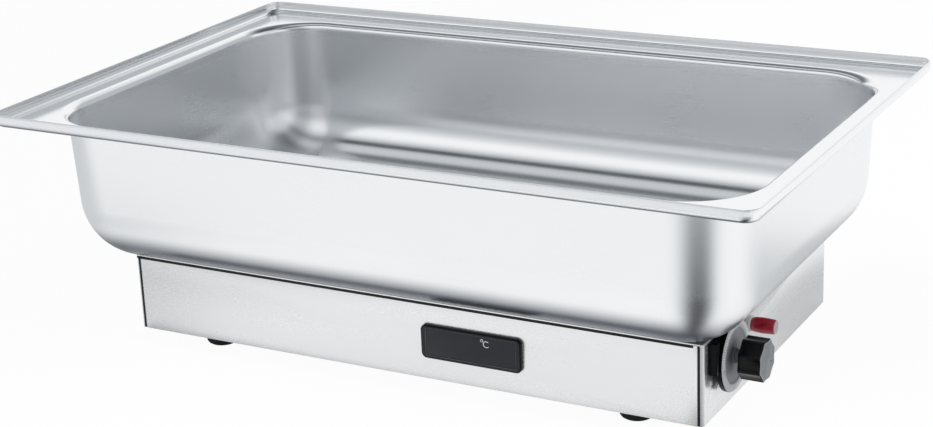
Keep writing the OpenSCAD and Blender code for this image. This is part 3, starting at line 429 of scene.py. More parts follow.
def whiteCeramic():
    made = newFinish("whiteCeramic")
    speck = made.noise(0.7, detail=4, rough=0.7)
    shade = made.blend(speck, (0.80, 0.79, 0.75), (0.66, 0.64, 0.58), span=(0.55, 0.8))
    return made.close({"Base Color": shade, "Roughness": 0.4 + speck.spread(0.2),
                       "Normal": made.bump(speck, 0.03)})


def redLens():
    made = newFinish("redLens")
    depth = made.noise(4)
    grain = made.noise(0.5)
    shade = made.blend(depth, (0.38, 0.014, 0.032), (0.48, 0.020, 0.042))
    return made.close({"Base Color": shade, "Roughness": 0.2 + depth.spread(0.1),
                       "Normal": made.bump(grain, 0.006)})


def lampCollar():
    made = newFinish("lampCollar")
    grain = made.noise(0.4)
    shade = made.blend(grain, (0.83, 0.82, 0.82), (0.90, 0.89, 0.89))
    return made.close({"Base Color": shade, "Roughness": 0.35 + grain.spread(0.1)})


def clearBulb():
    made = newFinish("clearBulb")
    grain = made.noise(1.2)
    shade = made.blend(grain, (0.75, 0.62, 0.55), (0.85, 0.75, 0.68))
    return made.close({"Base Color": shade, "Roughness": 0.1 + grain.spread(0.05)})


def rolledAluminium():
    made = newFinish("rolledAluminium")
    lines = made.noise(0.5, detail=3, rough=0.6, stretch=(40, 1, 1))
    clouds = made.noise(30)
    shade = made.blend(clouds, (0.78, 0.785, 0.79), (0.85, 0.855, 0.86))
    return made.close({"Base Color": shade, "Metallic": 1.0, "Roughness": 0.3 + lines.spread(0.2),
                       "Normal": made.bump(lines, 0.01)})


def mineralWool():
    made = newFinish("mineralWool")
    fibres = made.noise(1.6, detail=5, rough=0.7, stretch=(4, 1, 1))
    tufts = made.noise(9, detail=3, rough=0.6)
    shade = made.blend(fibres, (0.62, 0.60, 0.52), (0.82, 0.80, 0.74))
    return made.close({"Base Color": shade, "Roughness": 0.95,
                       "Normal": made.bump(fibres * 0.6 + tufts, 1.2)})


finishes = {
    "pan_steel": satinSteel(),
    "panel_steel": brightSteel(),
    "zinc_steel": zincSteel(),
    "black_rubber": blackRubber(),
    "black_plastic": blackPlastic(),
    "knob_plastic": glossPlastic(),
    "dial_plastic": dialGrey(),
    "cap_metal": capMetal(),
    "smoked_window": smokedWindow(),
    "cell_glass": cellGlass(),
    "board_green": boardGreen(),
    "lead_insulation": leadSleeve(),
    "copper": redCopper(),
    "brass": yellowBrass(),
    "ceramic_parts": whiteCeramic(),
    "lens_red": redLens(),
    "lamp_plastic": lampCollar(),
    "lamp_glass": clearBulb(),
    "spreader_aluminium": rolledAluminium(),
    "insulation": mineralWool(),
    "tray_aluminium": rolledAluminium(),
}
silver, white, frosted = dialSilver(), printWhite(), lensEnd()
faceGrey, highlightGrey = frameFace(), edgeHighlight()
print("finishes made:", len(finishes))

slotOf = {row["node"]: row["material_slot"] for row in frame["record"]["subparts"]}
for nodeName, node in frame["nodes"].items():
    for materialSlot in node.material_slots:
        materialSlot.material = finishes[slotOf[nodeName]]
print("slots given to", len(slotOf), "of", len(frame["nodes"]), "nodes")


def straight(bm, vert, step, cuts=1):
    for _ in range(cuts):
        vert = bmesh.ops.extrude_vert_indiv(bm, verts=[vert])["verts"][0]
        bmesh.ops.translate(bm, verts=[vert], vec=Vector(step) * mm / cuts)
    return vert


def bend(bm, vert, centre, axis, angle, steps):
    out = bmesh.ops.spin(bm, geom=[vert], cent=point(*centre), axis=axis, angle=math.radians(angle),
                         steps=steps, use_duplicate=False)
    return [part for part in out["geom_last"] if isinstance(part, bmesh.types.BMVert)][0]


def sweep(bm, chain, centre, axis, angle, steps):
    # turns a chain of edges about an axis and returns its last copy
    out = bmesh.ops.spin(bm, geom=chain, cent=point(*centre), axis=axis, angle=math.radians(angle),
                         steps=steps, use_duplicate=False)
    return [part for part in out["geom_last"] if isinstance(part, bmesh.types.BMEdge)]


def drag(bm, chain, steps):
    # extrudes a chain of edges by each step in turn
    for step in steps:
        out = bmesh.ops.extrude_edge_only(bm, edges=chain)
        chain = [part for part in out["geom"] if isinstance(part, bmesh.types.BMEdge)]
        verts = [part for part in out["geom"] if isinstance(part, bmesh.types.BMVert)]
        bmesh.ops.translate(bm, verts=verts, vec=Vector(step) * mm)


def newChain(x, y, z):
    bm = bmesh.new()
    return bm, bmesh.ops.create_vert(bm, co=point(x, y, z))["vert"][0]


def rounded(corners, steps=4):
    # a path of (u, v, radius) corners with an arc at each corner that has a radius
    path = []
    for index, (u, v, radius) in enumerate(corners):
        here = Vector((u, v))
        if not radius:
            path.append(here)
            continue
        before = (Vector(corners[index - 1][:2]) - here).normalized()
        after = (Vector(corners[index + 1][:2]) - here).normalized()
        half = before.angle(after) / 2
        centre = here + (before + after).normalized() * radius / math.sin(half)
        start = here + before * radius / math.tan(half) - centre
        end = here + after * radius / math.tan(half) - centre
        path += [centre + start.slerp(end, step / steps).normalized() * radius for step in range(steps + 1)]
    return path


def lathe(path, centre, axis, steps=72):
    # spins a path of (along, radius) about an axis through centre
    along = Vector(axis)
    out = Vector((0, 0, 1)) if along.x else Vector((1, 0, 0))
    spots = [Vector(centre) + along * u + out * v for u, v in path]
    bm, vert = newChain(*spots[0])
    for before, after in zip(spots, spots[1:]):
        vert = straight(bm, vert, after - before)
    bmesh.ops.spin(bm, geom=list(bm.verts) + list(bm.edges), cent=point(*centre), axis=axis,
                   angle=2 * math.pi, steps=steps, use_merge=True, use_duplicate=False)
    return bm


def block(bm, low, high):
    # a box between two corners
    low, high = Vector(low), Vector(high)
    size = Matrix.Diagonal((*(high - low) * mm, 1))
    place = Matrix.Translation((low + high) / 2 * mm)
    return bmesh.ops.create_cube(bm, size=1, matrix=place @ size)["verts"]


def printedLine(bm, x, proud, wide, start, end, sunk=0.05):
    # a thin line along Z on a face that looks along X
    return block(bm, (x - sunk, -wide / 2, start), (x + proud, wide / 2, end))


def roll(bm, verts, angle):
    # turns about the X axis, in degrees
    bmesh.ops.rotate(bm, verts=verts, cent=(0, 0, 0), matrix=Matrix.Rotation(math.radians(angle), 3, "X"))


def paint(mesh, choose):
    # gives each face the material whose number choose() returns for the face's middle and normal
    for face in mesh.polygons:
        face.material_index = choose(face.center / mm, face.normal)


def finishMesh(bm, name, crease=35, recalc=True):
    bmesh.ops.remove_doubles(bm, verts=bm.verts, dist=weld)
    if recalc:
        bmesh.ops.recalc_face_normals(bm, faces=bm.faces)
    for face in bm.faces:
        face.smooth = True
    limit = math.radians(crease)
    for edge in bm.edges:
        edge.smooth = len(edge.link_faces) != 2 or edge.calc_face_angle(0) < limit
    mesh = bpy.data.meshes.new(name)
    bm.to_mesh(mesh)
    bm.free()
    return mesh


def addPiece(mesh, name, body, slotName, materials=None, replaces=()):
    piece = bpy.data.objects.new(name, mesh)
    scene.collection.objects.link(piece)
    for material in materials or [finishes[slotName]]:
        mesh.materials.append(material)
    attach(piece, body)
    if replaces:
        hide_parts(*replaces)
    return piece


pan = {
    "tubX": 208, "tubY": 104, "edgeD": 55, "edgeR": 6, "slope": 2.9,
    "flangeTop": 171.8, "sheet": 1.0, "bottomR": 46, "bottomZ": 64,
    "lipX": 269, "lipY": 169, "lipR": 4, "lipD": 6, "lipTop": 180,
    "cornerSteps": 36, "edgeSteps": 14, "bottomSteps": 30, "lipSteps": 8,
    "margin": 1.0, "lipMargin": 0.4, "floorMargin": 0.8, "broken": 0.28, "crease": 50,
}


def quarter(bm, chain, x, y):
    # carries a profile round the corner at x, y and straight on to the pan's two middles
    lead = pan["margin"]
    verts = list(dict.fromkeys(vert for edge in chain for vert in edge.verts))
    far = sweep(bm, verts + chain, (x, y, 0), (0, 0, 1), 90, pan["cornerSteps"])
    drag(bm, chain, [(0, -lead, 0), (0, lead - y, 0)])
    drag(bm, far, [(-lead, 0, 0), (lead - x, 0, 0)])


def openEdges(bm, level):
    # edges of holes that lie flat at a height
    return [edge for edge in bm.edges if len(edge.link_faces) == 1
            and all(abs(vert.co.z - level) < weld for vert in edge.verts)]


def onMiddle(edge):
    # true for an edge that lies in one of the planes that the pan is mirrored in
    return any(all(abs(vert.co[axis]) < weld for vert in edge.verts) for axis in (0, 1))


def makePan():
    p = pan
    slope = math.radians(p["slope"])
    down = Vector((-math.sin(slope), 0, -math.cos(slope)))
    lead = p["margin"]
    inner = p["bottomR"] - p["sheet"]
    # what the two arcs leave of the wall's height is straight
    arcs = (p["edgeR"] + inner) * (1 - math.sin(slope))
    wallRun = (p["flangeTop"] - p["bottomZ"] - p["sheet"] - arcs) / math.cos(slope)
    # tub: from the flange over the rounded edge, down the wall and round the bottom
    bm, vert = newChain(p["tubX"] + p["edgeD"] + lead, p["tubY"], p["flangeTop"])
    vert = straight(bm, vert, (-lead, 0, 0))
    edgeCentre = (p["tubX"] + p["edgeD"], p["tubY"], p["flangeTop"] - p["edgeR"])
    vert = bend(bm, vert, edgeCentre, (0, 1, 0), -(90 - p["slope"]), p["edgeSteps"])
    vert = straight(bm, vert, down * lead)
    vert = straight(bm, vert, down * (wallRun - 2 * lead), cuts=3)
    vert = straight(bm, vert, down * lead)
    bottomCentre = vert.co / mm - Vector((math.cos(slope), 0, -math.sin(slope))) * inner
    bend(bm, vert, bottomCentre, (0, 1, 0), 90 - p["slope"], p["bottomSteps"])
    quarter(bm, list(bm.edges), p["tubX"], p["tubY"])
    tubFaces = len(bm.faces)
    # lip: the bend up from the flange and the upright edge
    lipCentre = (p["lipX"] + p["lipD"], p["lipY"], p["flangeTop"] + p["lipR"])
    before = set(bm.edges)
    start = point(lipCentre[0] - lead, lipCentre[1], p["flangeTop"])
    vert = bmesh.ops.create_vert(bm, co=start)["vert"][0]
    vert = straight(bm, vert, (lead, 0, 0))
    vert = bend(bm, vert, lipCentre, (0, 1, 0), -90, p["lipSteps"])
    vert = straight(bm, vert, (0, 0, p["lipMargin"]))
    straight(bm, vert, (0, 0, p["lipTop"] - lipCentre[2] - p["lipMargin"]))
    quarter(bm, [edge for edge in bm.edges if edge not in before], p["lipX"], p["lipY"])
    # flat flange between the two
    rims = [edge for edge in openEdges(bm, p["flangeTop"] * mm) if not onMiddle(edge)]
    bmesh.ops.bridge_loops(bm, edges=rims)
    for axis in ("X", "Y"):
        everything = list(bm.verts) + list(bm.edges) + list(bm.faces)
        bmesh.ops.mirror(bm, geom=everything, axis=axis, merge_dist=weld)
    bmesh.ops.remove_doubles(bm, verts=bm.verts, dist=weld)
    # floor
    hole = openEdges(bm, min(vert.co.z for vert in bm.verts))
    floor = bmesh.ops.contextual_create(bm, geom=hole)["faces"]
    bmesh.ops.inset_region(bm, faces=floor, thickness=p["floorMargin"] * mm, use_even_offset=True)
    print("pan faces:", tubFaces, "->", len(bm.faces))
    print("rim edges bridged:", len(rims), "floor loop:", len(hole))
    bmesh.ops.recalc_face_normals(bm, faces=bm.faces)
    # an open bowl may be turned either way, so look at the floor
    if floor[0].normal.z < 0:
        bmesh.ops.reverse_faces(bm, faces=bm.faces)
    mesh = finishMesh(bm, "pan_shell", p["crease"], recalc=False)
    piece = addPiece(mesh, "pan_shell", "base", "pan_steel", replaces=["water_pan"])
    wall = piece.modifiers.new("sheet", "SOLIDIFY")
    wall.thickness = p["sheet"] * mm
    wall.offset = -1
    wall.use_even_offset = True
    wall.use_quality_normals = True
    edge = piece.modifiers.new("edge", "BEVEL")
    edge.width = p["broken"] * mm
    edge.segments = 2
    edge.limit_method = "ANGLE"
    edge.angle_limit = math.radians(p["crease"])


makePan()
print("pan made")


def copyOf(nodeName):
    # a merged copy of a node's mesh
    bm = bmesh.new()
    bm.from_mesh(frame["nodes"][nodeName].data)
    bmesh.ops.remove_doubles(bm, verts=bm.verts, dist=weld)
    bmesh.ops.dissolve_limit(bm, angle_limit=math.radians(0.5), verts=bm.verts, edges=bm.edges)
    return bm


def roundEdges(bm, edges, width, segments=2):
    bmesh.ops.bevel(bm, geom=edges, offset=width * mm, offset_type="OFFSET", segments=segments, profile=0.5,
                    affect="EDGES", clamp_overlap=True, material=-1)


def breakEdges(bm, width, segments=2, limit=28, where=None):
    # rounds the edges sharper than the limit, or those of them that where() takes
    sharp = [edge for edge in bm.edges if len(edge.link_faces) == 2
             and edge.calc_face_angle(0) > math.radians(limit)
             and (where is None or all(where(vert.co / mm) for vert in edge.verts))]
    roundEdges(bm, sharp, width, segments)
    return bm


def soften(nodeName, width):
    bm = breakEdges(copyOf(nodeName), width)
    mesh = finishMesh(bm, nodeName + "_soft", crease=30, recalc=False)
    body = frame["nodes"][nodeName]["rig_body"]
    addPiece(mesh, nodeName + "_soft", body, slotOf[nodeName], replaces=[nodeName])


edgeWidths = {
    "front_panel": 0.2, "back_panel": 0.2, "left_panel": 0.2, "right_panel": 0.2,
    "seat_rail_front": 0.2, "seat_rail_back": 0.2, "front_seal": 0.4, "back_seal": 0.4,
    "control_plate": 0.4, "lamp_socket": 0.2, "inlet_socket": 0.3,
}
for nodeName, width in edgeWidths.items():
    soften(nodeName, width)
print("edges softened")


def corners(nodeName):
    low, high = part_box(nodeName)
    return low / mm, high / mm


# the knob's axis
axisLow, axisHigh = corners("spindle")
axisY, axisZ = (axisLow.y + axisHigh.y) / 2, (axisLow.z + axisHigh.z) / 2


foot = {"bore": 5, "boreDeep": 4, "hole": 2.4, "sole": 4, "lip": 0.4}


def makeFoot(nodeName):
    low, high = corners(nodeName)
    centre, r = (low + high) / 2, (high.x - low.x) / 2
    path = rounded([(high.z, foot["hole"], 0), (high.z, r, foot["lip"]), (low.z, r, foot["sole"]),
                    (low.z, foot["bore"], foot["lip"]), (low.z + foot["boreDeep"], foot["bore"], 0),
                    (low.z + foot["boreDeep"], foot["hole"], 0), (high.z, foot["hole"], 0)])
    bm = lathe(path, (centre.x, centre.y, 0), (0, 0, 1), steps=48)
    mesh = finishMesh(bm, nodeName + "_soft")
    addPiece(mesh, nodeName + "_soft", "base", "black_rubber", replaces=[nodeName])


for nodeName in ("foot_front_left", "foot_front_right", "foot_back_left", "foot_back_right"):
    makeFoot(nodeName)
print("feet made")


bead = {"in": 0.15, "width": 1.8, "proud": 0.12, "deep": 0.9, "short": 0.3, "round": 0.1}


def makeBeads():
    # black sealing beads in the joints beside the corner bends
    low, high = corners("front_panel")
    back = corners("back_panel")[1].y
    bm = bmesh.new()
    for x, side in ((low.x, -1), (high.x, 1)):
        inner = x - side * bead["in"]
        outer = inner + side * bead["width"]
        for y, out in ((low.y, -1), (back, 1)):
            edge = y + out * bead["proud"]
            root = y - out * bead["deep"]
            block(bm, (min(inner, outer), min(edge, root), low.z + bead["short"]),
                  (max(inner, outer), max(edge, root), high.z - bead["short"]))
    roundEdges(bm, list(bm.edges), bead["round"])
    addPiece(finishMesh(bm, "joint_beads"), "joint_beads", "base", "black_rubber")


makeBeads()
print("beads made")


display = {
    "edge": 1.0, "line": 0.4, "window": 0.25, "signX": 65.7, "signZ": 38.6, "signHigh": 4.9, "proud": 0.04,
    "capital": 0.73,  # height of a capital as a share of the font's size
    "deep": 0.03, "degreeScale": 1.25, "degreeDown": 0.4, "letterX": 1.9,
    "frontLook": 0.99, "lineLook": 0.2,  # least that a face looks ahead to count as front or as line
}


def makeDisplay():
    low, high = corners("display_frame")
    window = corners("display_window")
    face = low.y
    middle = (low + high) / 2
    half = (window[1] - window[0]) / 2 + Vector((1, 1, 1)) * display["line"]

    def front(spot):
        return spot.y < face + slack

    def within(spot):
        return abs(spot.x - middle.x) < half.x and abs(spot.z - middle.z) < half.z

    def outline(spot):
        return front(spot) and not within(spot)

    def choose(spot, normal):
        # grey front, a lighter line round the window that is a painted highlight on its rounded edge, the
        # rest black
        if front(spot) and -normal.y > display["frontLook"]:
            return 1
        inLine = within(spot) and spot.y < face + display["line"] and -normal.y > display["lineLook"]
        return 2 if inLine else 0

    bm = breakEdges(copyOf("display_frame"), display["edge"], segments=4, where=outline)
    breakEdges(bm, display["line"], limit=60, where=front)
    mesh = finishMesh(bm, "display_frame_soft", crease=40, recalc=False)
    addPiece(mesh, "display_frame_soft", "base", "black_plastic",
             [finishes["black_plastic"], faceGrey, highlightGrey], ["display_frame"])
    paint(mesh, choose)
    soften("display_window", display["window"])
    # the degree sign and C printed on the window
    bm = bmesh.new()
    letters = (("\u00b0", display["degreeScale"], 0, -display["degreeDown"]), ("C", 1, display["letterX"], 0))
    for letter, scale, right, up in letters:
        sign = bpy.data.curves.new("sign", "FONT")
        sign.body = letter
        sign.size = display["signHigh"] * scale / display["capital"] * mm
        sign.extrude = display["deep"] * mm
        sign.resolution_u = 6
        holder = bpy.data.objects.new("sign", sign)
        old = set(bm.verts)
        bm.from_mesh(bpy.data.meshes.new_from_object(holder))
        bpy.data.objects.remove(holder)
        verts = [vert for vert in bm.verts if vert not in old]
        roll(bm, verts, 90)
        left = min(vert.co.x for vert in verts)
        place = point(display["signX"] + right, window[0].y - display["proud"], display["signZ"] + up)
        bmesh.ops.translate(bm, verts=verts, vec=place - Vector((left, 0, 0)))
    addPiece(finishMesh(bm, "display_sign", crease=30), "display_sign", "base", "black_plastic", [white])


makeDisplay()
print("display made")


dial = {
    "thick": 4.5, "draft": 0.1, "sunk": 1.0, "bore": 3.4, "neckR": 5.3, "neckUp": 0.35,
    "ring": 5.1, "ringFoot": 0.6, "rimIn": 1.1, "rimDown": 0.8, "silverIn": 0.4, "silverDown": 0.75,
    "zeroAt": 92.5, "travel": 270, "ticks": 60, "tickLong": 3.6, "tickShort": 2.7, "tickWide": 0.9,
    "tickIn": 0.7, "proud": 0.05, "arrowR": 18.2, "arrowLong": 2.6, "arrowWide": 0.6, "arrowLean": 150,
    "soft": 0.5, "neckSoft": 0.3, "neckFillet": 0.6, "ringSoft": 0.3, "rimSoft": 0.4,  # corners' own radii
}


def makeDial():
    low, high = corners("dial")
    face, r = high.x, (high.y - low.y) / 2
    back, floorX = face - dial["thick"], face - dial["sunk"]
    neck, top = dial["neckR"], face + dial["neckUp"]
    ringR = r - dial["ring"]
    path = rounded([(back, dial["bore"], 0), (top, dial["bore"], 0), (top, neck, dial["neckSoft"]),
                    (floorX, neck, dial["neckFillet"]), (floorX, ringR - dial["ringFoot"], dial["soft"]),
                    (face, ringR, dial["ringSoft"]), (face, r - dial["rimIn"], dial["soft"]),
                    (face - dial["rimDown"], r, dial["rimSoft"]), (back, r - dial["draft"], dial["soft"]),
                    (back, dial["bore"], 0)])

    def choose(spot, _):
        # silver ring, grey well, the rest black
        away = math.hypot(spot.y - axisY, spot.z - axisZ)
        if away > ringR - dial["silverIn"] and spot.x > face - dial["silverDown"]:
            return 1
        return 0 if away < ringR and spot.x > floorX - slack else 2

    mesh = finishMesh(lathe(path, (0, axisY, axisZ), (1, 0, 0), steps=96), "dial_soft", crease=40)
    addPiece(mesh, "dial_soft", "base", "dial_plastic",
             [finishes["dial_plastic"], silver, finishes["black_plastic"]], ["dial"])
    paint(mesh, choose)
    # ticks and the arrow at the scale's start
    bm = bmesh.new()
    outer = r - dial["tickIn"]
    for index in range(dial["ticks"] + 1):
        long = dial["tickLong"] if index % 10 == 0 else dial["tickShort"]
        verts = printedLine(bm, face, dial["proud"], dial["tickWide"], outer - long, outer)
        roll(bm, verts, dial["zeroAt"] - dial["travel"] * index / dial["ticks"])
    for side in (-1, 1):
        verts = printedLine(bm, face, dial["proud"], dial["arrowWide"], 0, dial["arrowLong"])
        roll(bm, verts, dial["arrowLean"] * side)
        bmesh.ops.translate(bm, verts=verts, vec=point(0, 0, dial["arrowR"] + dial["arrowLong"]))
        roll(bm, verts, dial["zeroAt"])
    bmesh.ops.translate(bm, verts=bm.verts, vec=point(0, axisY, axisZ))
    addPiece(finishMesh(bm, "dial_marks"), "dial_marks", "base", "dial_plastic", [white])


makeDial()


knob = {
    "edge": 0.45, "base": 0.4, "grip": 14.7, "hubR": 12, "grubWide": 2.3, "capEdge": 0.3, "capRing": 0.35,
    "pointerAt": -113, "pointerFrom": 5.6, "pointerTo": 7.9, "pointerWide": 0.6, "pointerProud": 0.04,
    "lineLook": (-0.93, -0.3), "ringLook": (0.2, 0.97),  # how far the line's and the ring's faces look ahead
}


def makeKnob():
    high = corners("knob_body")[1]
    grub = corners("knob_screw")
    grubX = (grub[0].x + grub[1].x) / 2
    gripX = high.x - knob["grip"]
    top = corners("knob_cap")[1].x

    def clear(spot):
        nearHole = abs(spot.x - grubX) < knob["grubWide"] and abs(spot.y - axisY) < knob["grubWide"]
        away = math.hypot(spot.y - axisY, spot.z - axisZ)
        return not nearHole and spot.x > gripX - slack and away > knob["hubR"]

    def choose(spot, normal):
        # grey back, a lighter line round the foot of the grips that is a painted highlight on their rounded
        # edge, the rest black
        if spot.x < gripX - slack:
            return 2
        least, most = knob["lineLook"]
        return int(spot.x < gripX + knob["base"] and least < normal.x < most)

    def chooseCap(spot, normal):
        # silver ring round the cap's face
        least, most = knob["ringLook"]
        return int(spot.x > top - knob["capRing"] and least < normal.x < most)

    bm = breakEdges(copyOf("knob_body"), knob["edge"], segments=3, limit=20, where=clear)
    mesh = finishMesh(bm, "knob_soft", crease=32, recalc=False)
    addPiece(mesh, "knob_soft", "knob", "knob_plastic",
             [finishes["knob_plastic"], highlightGrey, finishes["dial_plastic"]], ["knob_body"])
    paint(mesh, choose)
    bm = breakEdges(copyOf("knob_cap"), knob["capEdge"], segments=3, limit=20)
    mesh = finishMesh(bm, "knob_cap_soft", crease=32, recalc=False)
    addPiece(mesh, "knob_cap_soft", "knob", "cap_metal", [finishes["cap_metal"], silver], ["knob_cap"])
    paint(mesh, chooseCap)
    # short printed pointer line on the cap
    bm = bmesh.new()
    printedLine(bm, top, knob["pointerProud"], knob["pointerWide"], knob["pointerFrom"], knob["pointerTo"])
    roll(bm, bm.verts, knob["pointerAt"])
    bmesh.ops.translate(bm, verts=bm.verts, vec=point(0, axisY, axisZ))
    addPiece(finishMesh(bm, "cap_pointer"), "cap_pointer", "knob", "cap_metal", [finishes["black_plastic"]])


makeKnob()
print("dial and knob made")


# foot, swell, neck and end are places along the lens, its radii there and the corners' own radii:
# foot's place is from the start, swell's a share of the length, neck's and end's from the end
lens = {
    "foot": (1.6, 5.0, 2.5), "swell": (0.45, 5.35, 20), "neck": (1.0, 4.95, 3), "end": (0.3, 4.45, 0.3),
    "start": 3.9, "startSoft": 0.3, "wall": 1.4, "flat": 3, "frost": 0.4, "frostLook": 0.6,
    "tipR": 0.55, "tipAlong": 0.5, "tipY": -4.6, "tipZ": 2.2,
}


def makeLens():
    low, high = corners("lamp_lens")
    centre = Vector((0, (low.y + high.y) / 2, (low.z + high.z) / 2))
    long = high.x - low.x
    hollow, hollowX = lens["start"] - lens["wall"] / 2, high.x - lens["flat"]
    foot, swell, neck, end = lens["foot"], lens["swell"], lens["neck"], lens["end"]
    path = rounded([(low.x, hollow, 0), (low.x, lens["start"], lens["startSoft"]),
                    (low.x + foot[0], *foot[1:]), (low.x + long * swell[0], *swell[1:]),
                    (high.x - neck[0], *neck[1:]), (high.x - end[0], *end[1:]), (high.x, 0, 0),
                    (hollowX, 0, 0), (hollowX, hollow, 0), (low.x, hollow, 0)], steps=5)
    mesh = finishMesh(lathe(path, centre, (1, 0, 0), steps=64), "lamp_lens_soft", crease=40)
    addPiece(mesh, "lamp_lens_soft", "base", "lens_red", [finishes["lens_red"], frosted], ["lamp_lens"])

    def choose(spot, normal):
        # frosted end, the rest red
        return int(spot.x > high.x - lens["frost"] and abs(normal.x) > lens["frostLook"])

    paint(mesh, choose)
    # dark electrode tip that shows through the lens' side
    spot = centre + Vector((low.x + long * lens["tipAlong"], lens["tipY"], lens["tipZ"]))
    bm = bmesh.new()
    bmesh.ops.create_uvsphere(bm, u_segments=16, v_segments=10, radius=lens["tipR"] * mm,
                              matrix=Matrix.Translation(spot * mm))
    addPiece(finishMesh(bm, "lamp_tip"), "lamp_tip", "base", "lens_red", [finishes["black_plastic"]])


makeLens()
print("lamp made")


def rayKinds(made):
    path = made.node("ShaderNodeLightPath", output="Is Camera Ray")
    outs = path.socket.node.outputs
    return path, Wire(made, outs["Is Glossy Ray"]) + Wire(made, outs["Is Transmission Ray"])


# what the darkest paper has of red and green, for one of blue
darkest = {"red": 0.84, "green": 0.93}


def cool(made, level):
    # greys that are bluer the darker they are
    red, green = (level * (share + level * (1 - share)) for share in darkest.values())
    return made.node("ShaderNodeCombineXYZ", {}, {0: red, 1: green, 2: level})


# lengths in millimetres, angles in degrees; each pair but the corner is a soft step
stage = {
    "cameraShare": 0.965, "mirrorShare": 0.85,  # how much of the floor is plain white to each kind of ray
    "reach": 6000, "paper": 0.97, "grain": 0.02,
    "corner": (208, -104), "streakIn": (-8, 30), "streakOut": (42, 74), "streakFrom": (5, 35),
    "streakThin": (250, 450), "streakTo": (530, 600), "streakFade": 0.2, "streakDepth": 0.96,
    "foot": (3, 14), "footDepth": 0.7, "litX": (200, 220), "litY": (-125, -95), "litShare": 0.8,
    "shadeX": (190, 240), "shadeY": (-100, 100), "shadeTo": (300, 420), "shadeDepth": 0.48,
    "leftX": (-400, -110), "leftY": (-430, -260), "leftDepth": 0.47,
}


def makeFloor():
    # seen by the camera it is plain white; metal sees paper laid round the object, with painted shade and
    # shadow on it
    bm = bmesh.new()
    bmesh.ops.create_grid(bm, x_segments=2, y_segments=2, size=stage["reach"] * mm)
    mesh = finishMesh(bm, "floor")
    floor = bpy.data.objects.new("floor", mesh)
    scene.collection.objects.link(floor)
    made = newFinish("paleFloor")
    camera, mirrored = rayKinds(made)
    x, y, _ = made.axes(made.node("ShaderNodeTexCoord", output="Object"))
    # painted shade: a dark wedge on the floor in front of the near corner
    right, ahead = x - stage["corner"][0] * mm, stage["corner"][1] * mm - y
    angle = made.node("ShaderNodeMath", {"operation": "ARCTAN2"}, {0: right, 1: ahead}) * math.degrees(1)
    away = (right * right + ahead * ahead) ** 0.5
    wedgeShade = angle.rises(*stage["streakIn"]) * (1 - angle.rises(*stage["streakOut"])) \
        * away.risesOver(stage["streakFrom"]) \
        * (1 - away.risesOver(stage["streakThin"]) * stage["streakFade"]) \
        * (1 - away.risesOver(stage["streakTo"]))
    # contact shade round the base's foot, weaker along its lit right end
    low, high = corners("bottom_plate")
    middle, half = (low + high) / 2 * mm, (high - low) / 2 * mm
    outside = ((x - middle.x).magnitude() - half.x).most((y - middle.y).magnitude() - half.y)
    lit = x.risesOver(stage["litX"]) * y.risesOver(stage["litY"])
    contact = (1 - outside.risesOver(stage["foot"])) * (1 - lit * stage["litShare"])
    # painted shade on the paper behind the right end and far to the left
    shade = x.risesOver(stage["shadeX"]) * y.risesOver(stage["shadeY"]) \
        * (1 - away.risesOver(stage["shadeTo"]))
    edge = (1 - x.risesOver(stage["leftX"])) * y.risesOver(stage["leftY"])
    unshaded = (1 - wedgeShade * stage["streakDepth"]) * (1 - contact * stage["footDepth"]) \
        * (1 - shade * stage["shadeDepth"]) * (1 - edge * stage["leftDepth"])
    grain = made.noise(40, detail=3)
    paper = cool(made, unshaded * (stage["paper"] + grain.spread(stage["grain"])))
    matt = made.node("ShaderNodeBsdfDiffuse", {}, {"Color": paper, "Roughness": 0.5})
    glow = made.node("ShaderNodeEmission", {}, {"Color": (1, 1, 1, 1), "Strength": 1.0})
    share = camera * stage["cameraShare"] + mirrored * stage["mirrorShare"] * unshaded
    mixed = made.node("ShaderNodeMixShader", {}, {0: share, 1: matt, 2: glow})
    made.node("ShaderNodeOutputMaterial", {}, {"Surface": mixed})
    mesh.materials.append(made.holder)


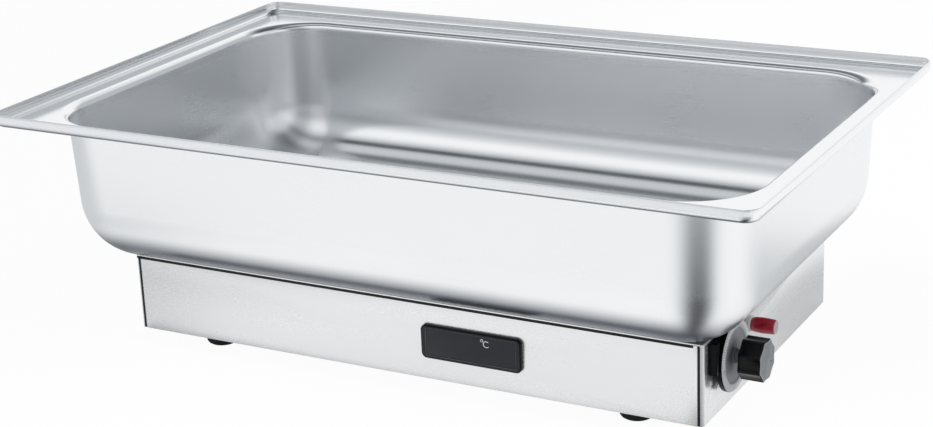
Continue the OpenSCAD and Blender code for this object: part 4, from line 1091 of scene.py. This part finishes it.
# levels of the studio round the X axis, in degrees from the front horizon over the top to the back one
room = {0: 0.44, 14: 0.46, 27: 0.66, 39: 1.0, 49: 0.98, 56: 0.76, 62: 0.45, 66: 0.05, 70: 0.05,
        75: 0.64, 88: 0.64, 96: 0.17, 122: 0.20, 142: 0.98, 180: 1.0}
# its right half, as shares of the way to the right
rightHalf = {"dim": (0.05, 0.45), "dimDepth": 0.45, "card": (0.68, 0.82), "cardLevel": 0.72}


def makeWorld():
    world = bpy.data.worlds.new("studio")
    scene.world = world
    made = Finish(world)
    camera, _ = rayKinds(made)
    x, y, z = made.axes(made.node("ShaderNodeTexCoord", output="Generated"))
    turn = made.node("ShaderNodeMath", {"operation": "ARCTAN2"}, {0: z, 1: y * -1.0}) / math.pi
    level = made.ramp(turn, [(angle / 180, value) for angle, value in room.items()])
    # the right half of the room is dimmer, up to a bright card at its far end
    card = x.rises(*rightHalf["card"])
    dimmed = x.rises(*rightHalf["dim"]) * (1 - card) * rightHalf["dimDepth"]
    level = (level * (1 - dimmed)).most(card * rightHalf["cardLevel"])
    plain = made.node("ShaderNodeBackground", {}, {"Color": cool(made, level), "Strength": 1.0})
    bright = made.node("ShaderNodeBackground", {}, {"Color": (1, 1, 1, 1), "Strength": 1.0})
    mixed = made.node("ShaderNodeMixShader", {}, {0: camera, 1: plain, 2: bright})
    made.node("ShaderNodeOutputWorld", {}, {"Surface": mixed})


lamps = {
    "overhead": {"at": (100, -250, 1150), "to": (60, -60, 60), "size": (1300, 900), "power": 8.5},
    "rightSide": {"at": (1250, 250, 650), "to": (300, 0, 60), "size": (600, 800), "power": 3.0},
}


def makeLamps():
    for name, spec in lamps.items():
        light = bpy.data.lights.new(name, "AREA")
        light.shape = "RECTANGLE"
        light.size, light.size_y = spec["size"][0] * mm, spec["size"][1] * mm
        light.energy = spec["power"]
        holder = bpy.data.objects.new(name, light)
        scene.collection.objects.link(holder)
        holder.visible_glossy = False
        holder.location = point(*spec["at"])
        holder.rotation_euler = (point(*spec["to"]) - point(*spec["at"])).to_track_quat("-Z", "Y").to_euler()


makeFloor()
makeWorld()
makeLamps()
print("stage and light made")
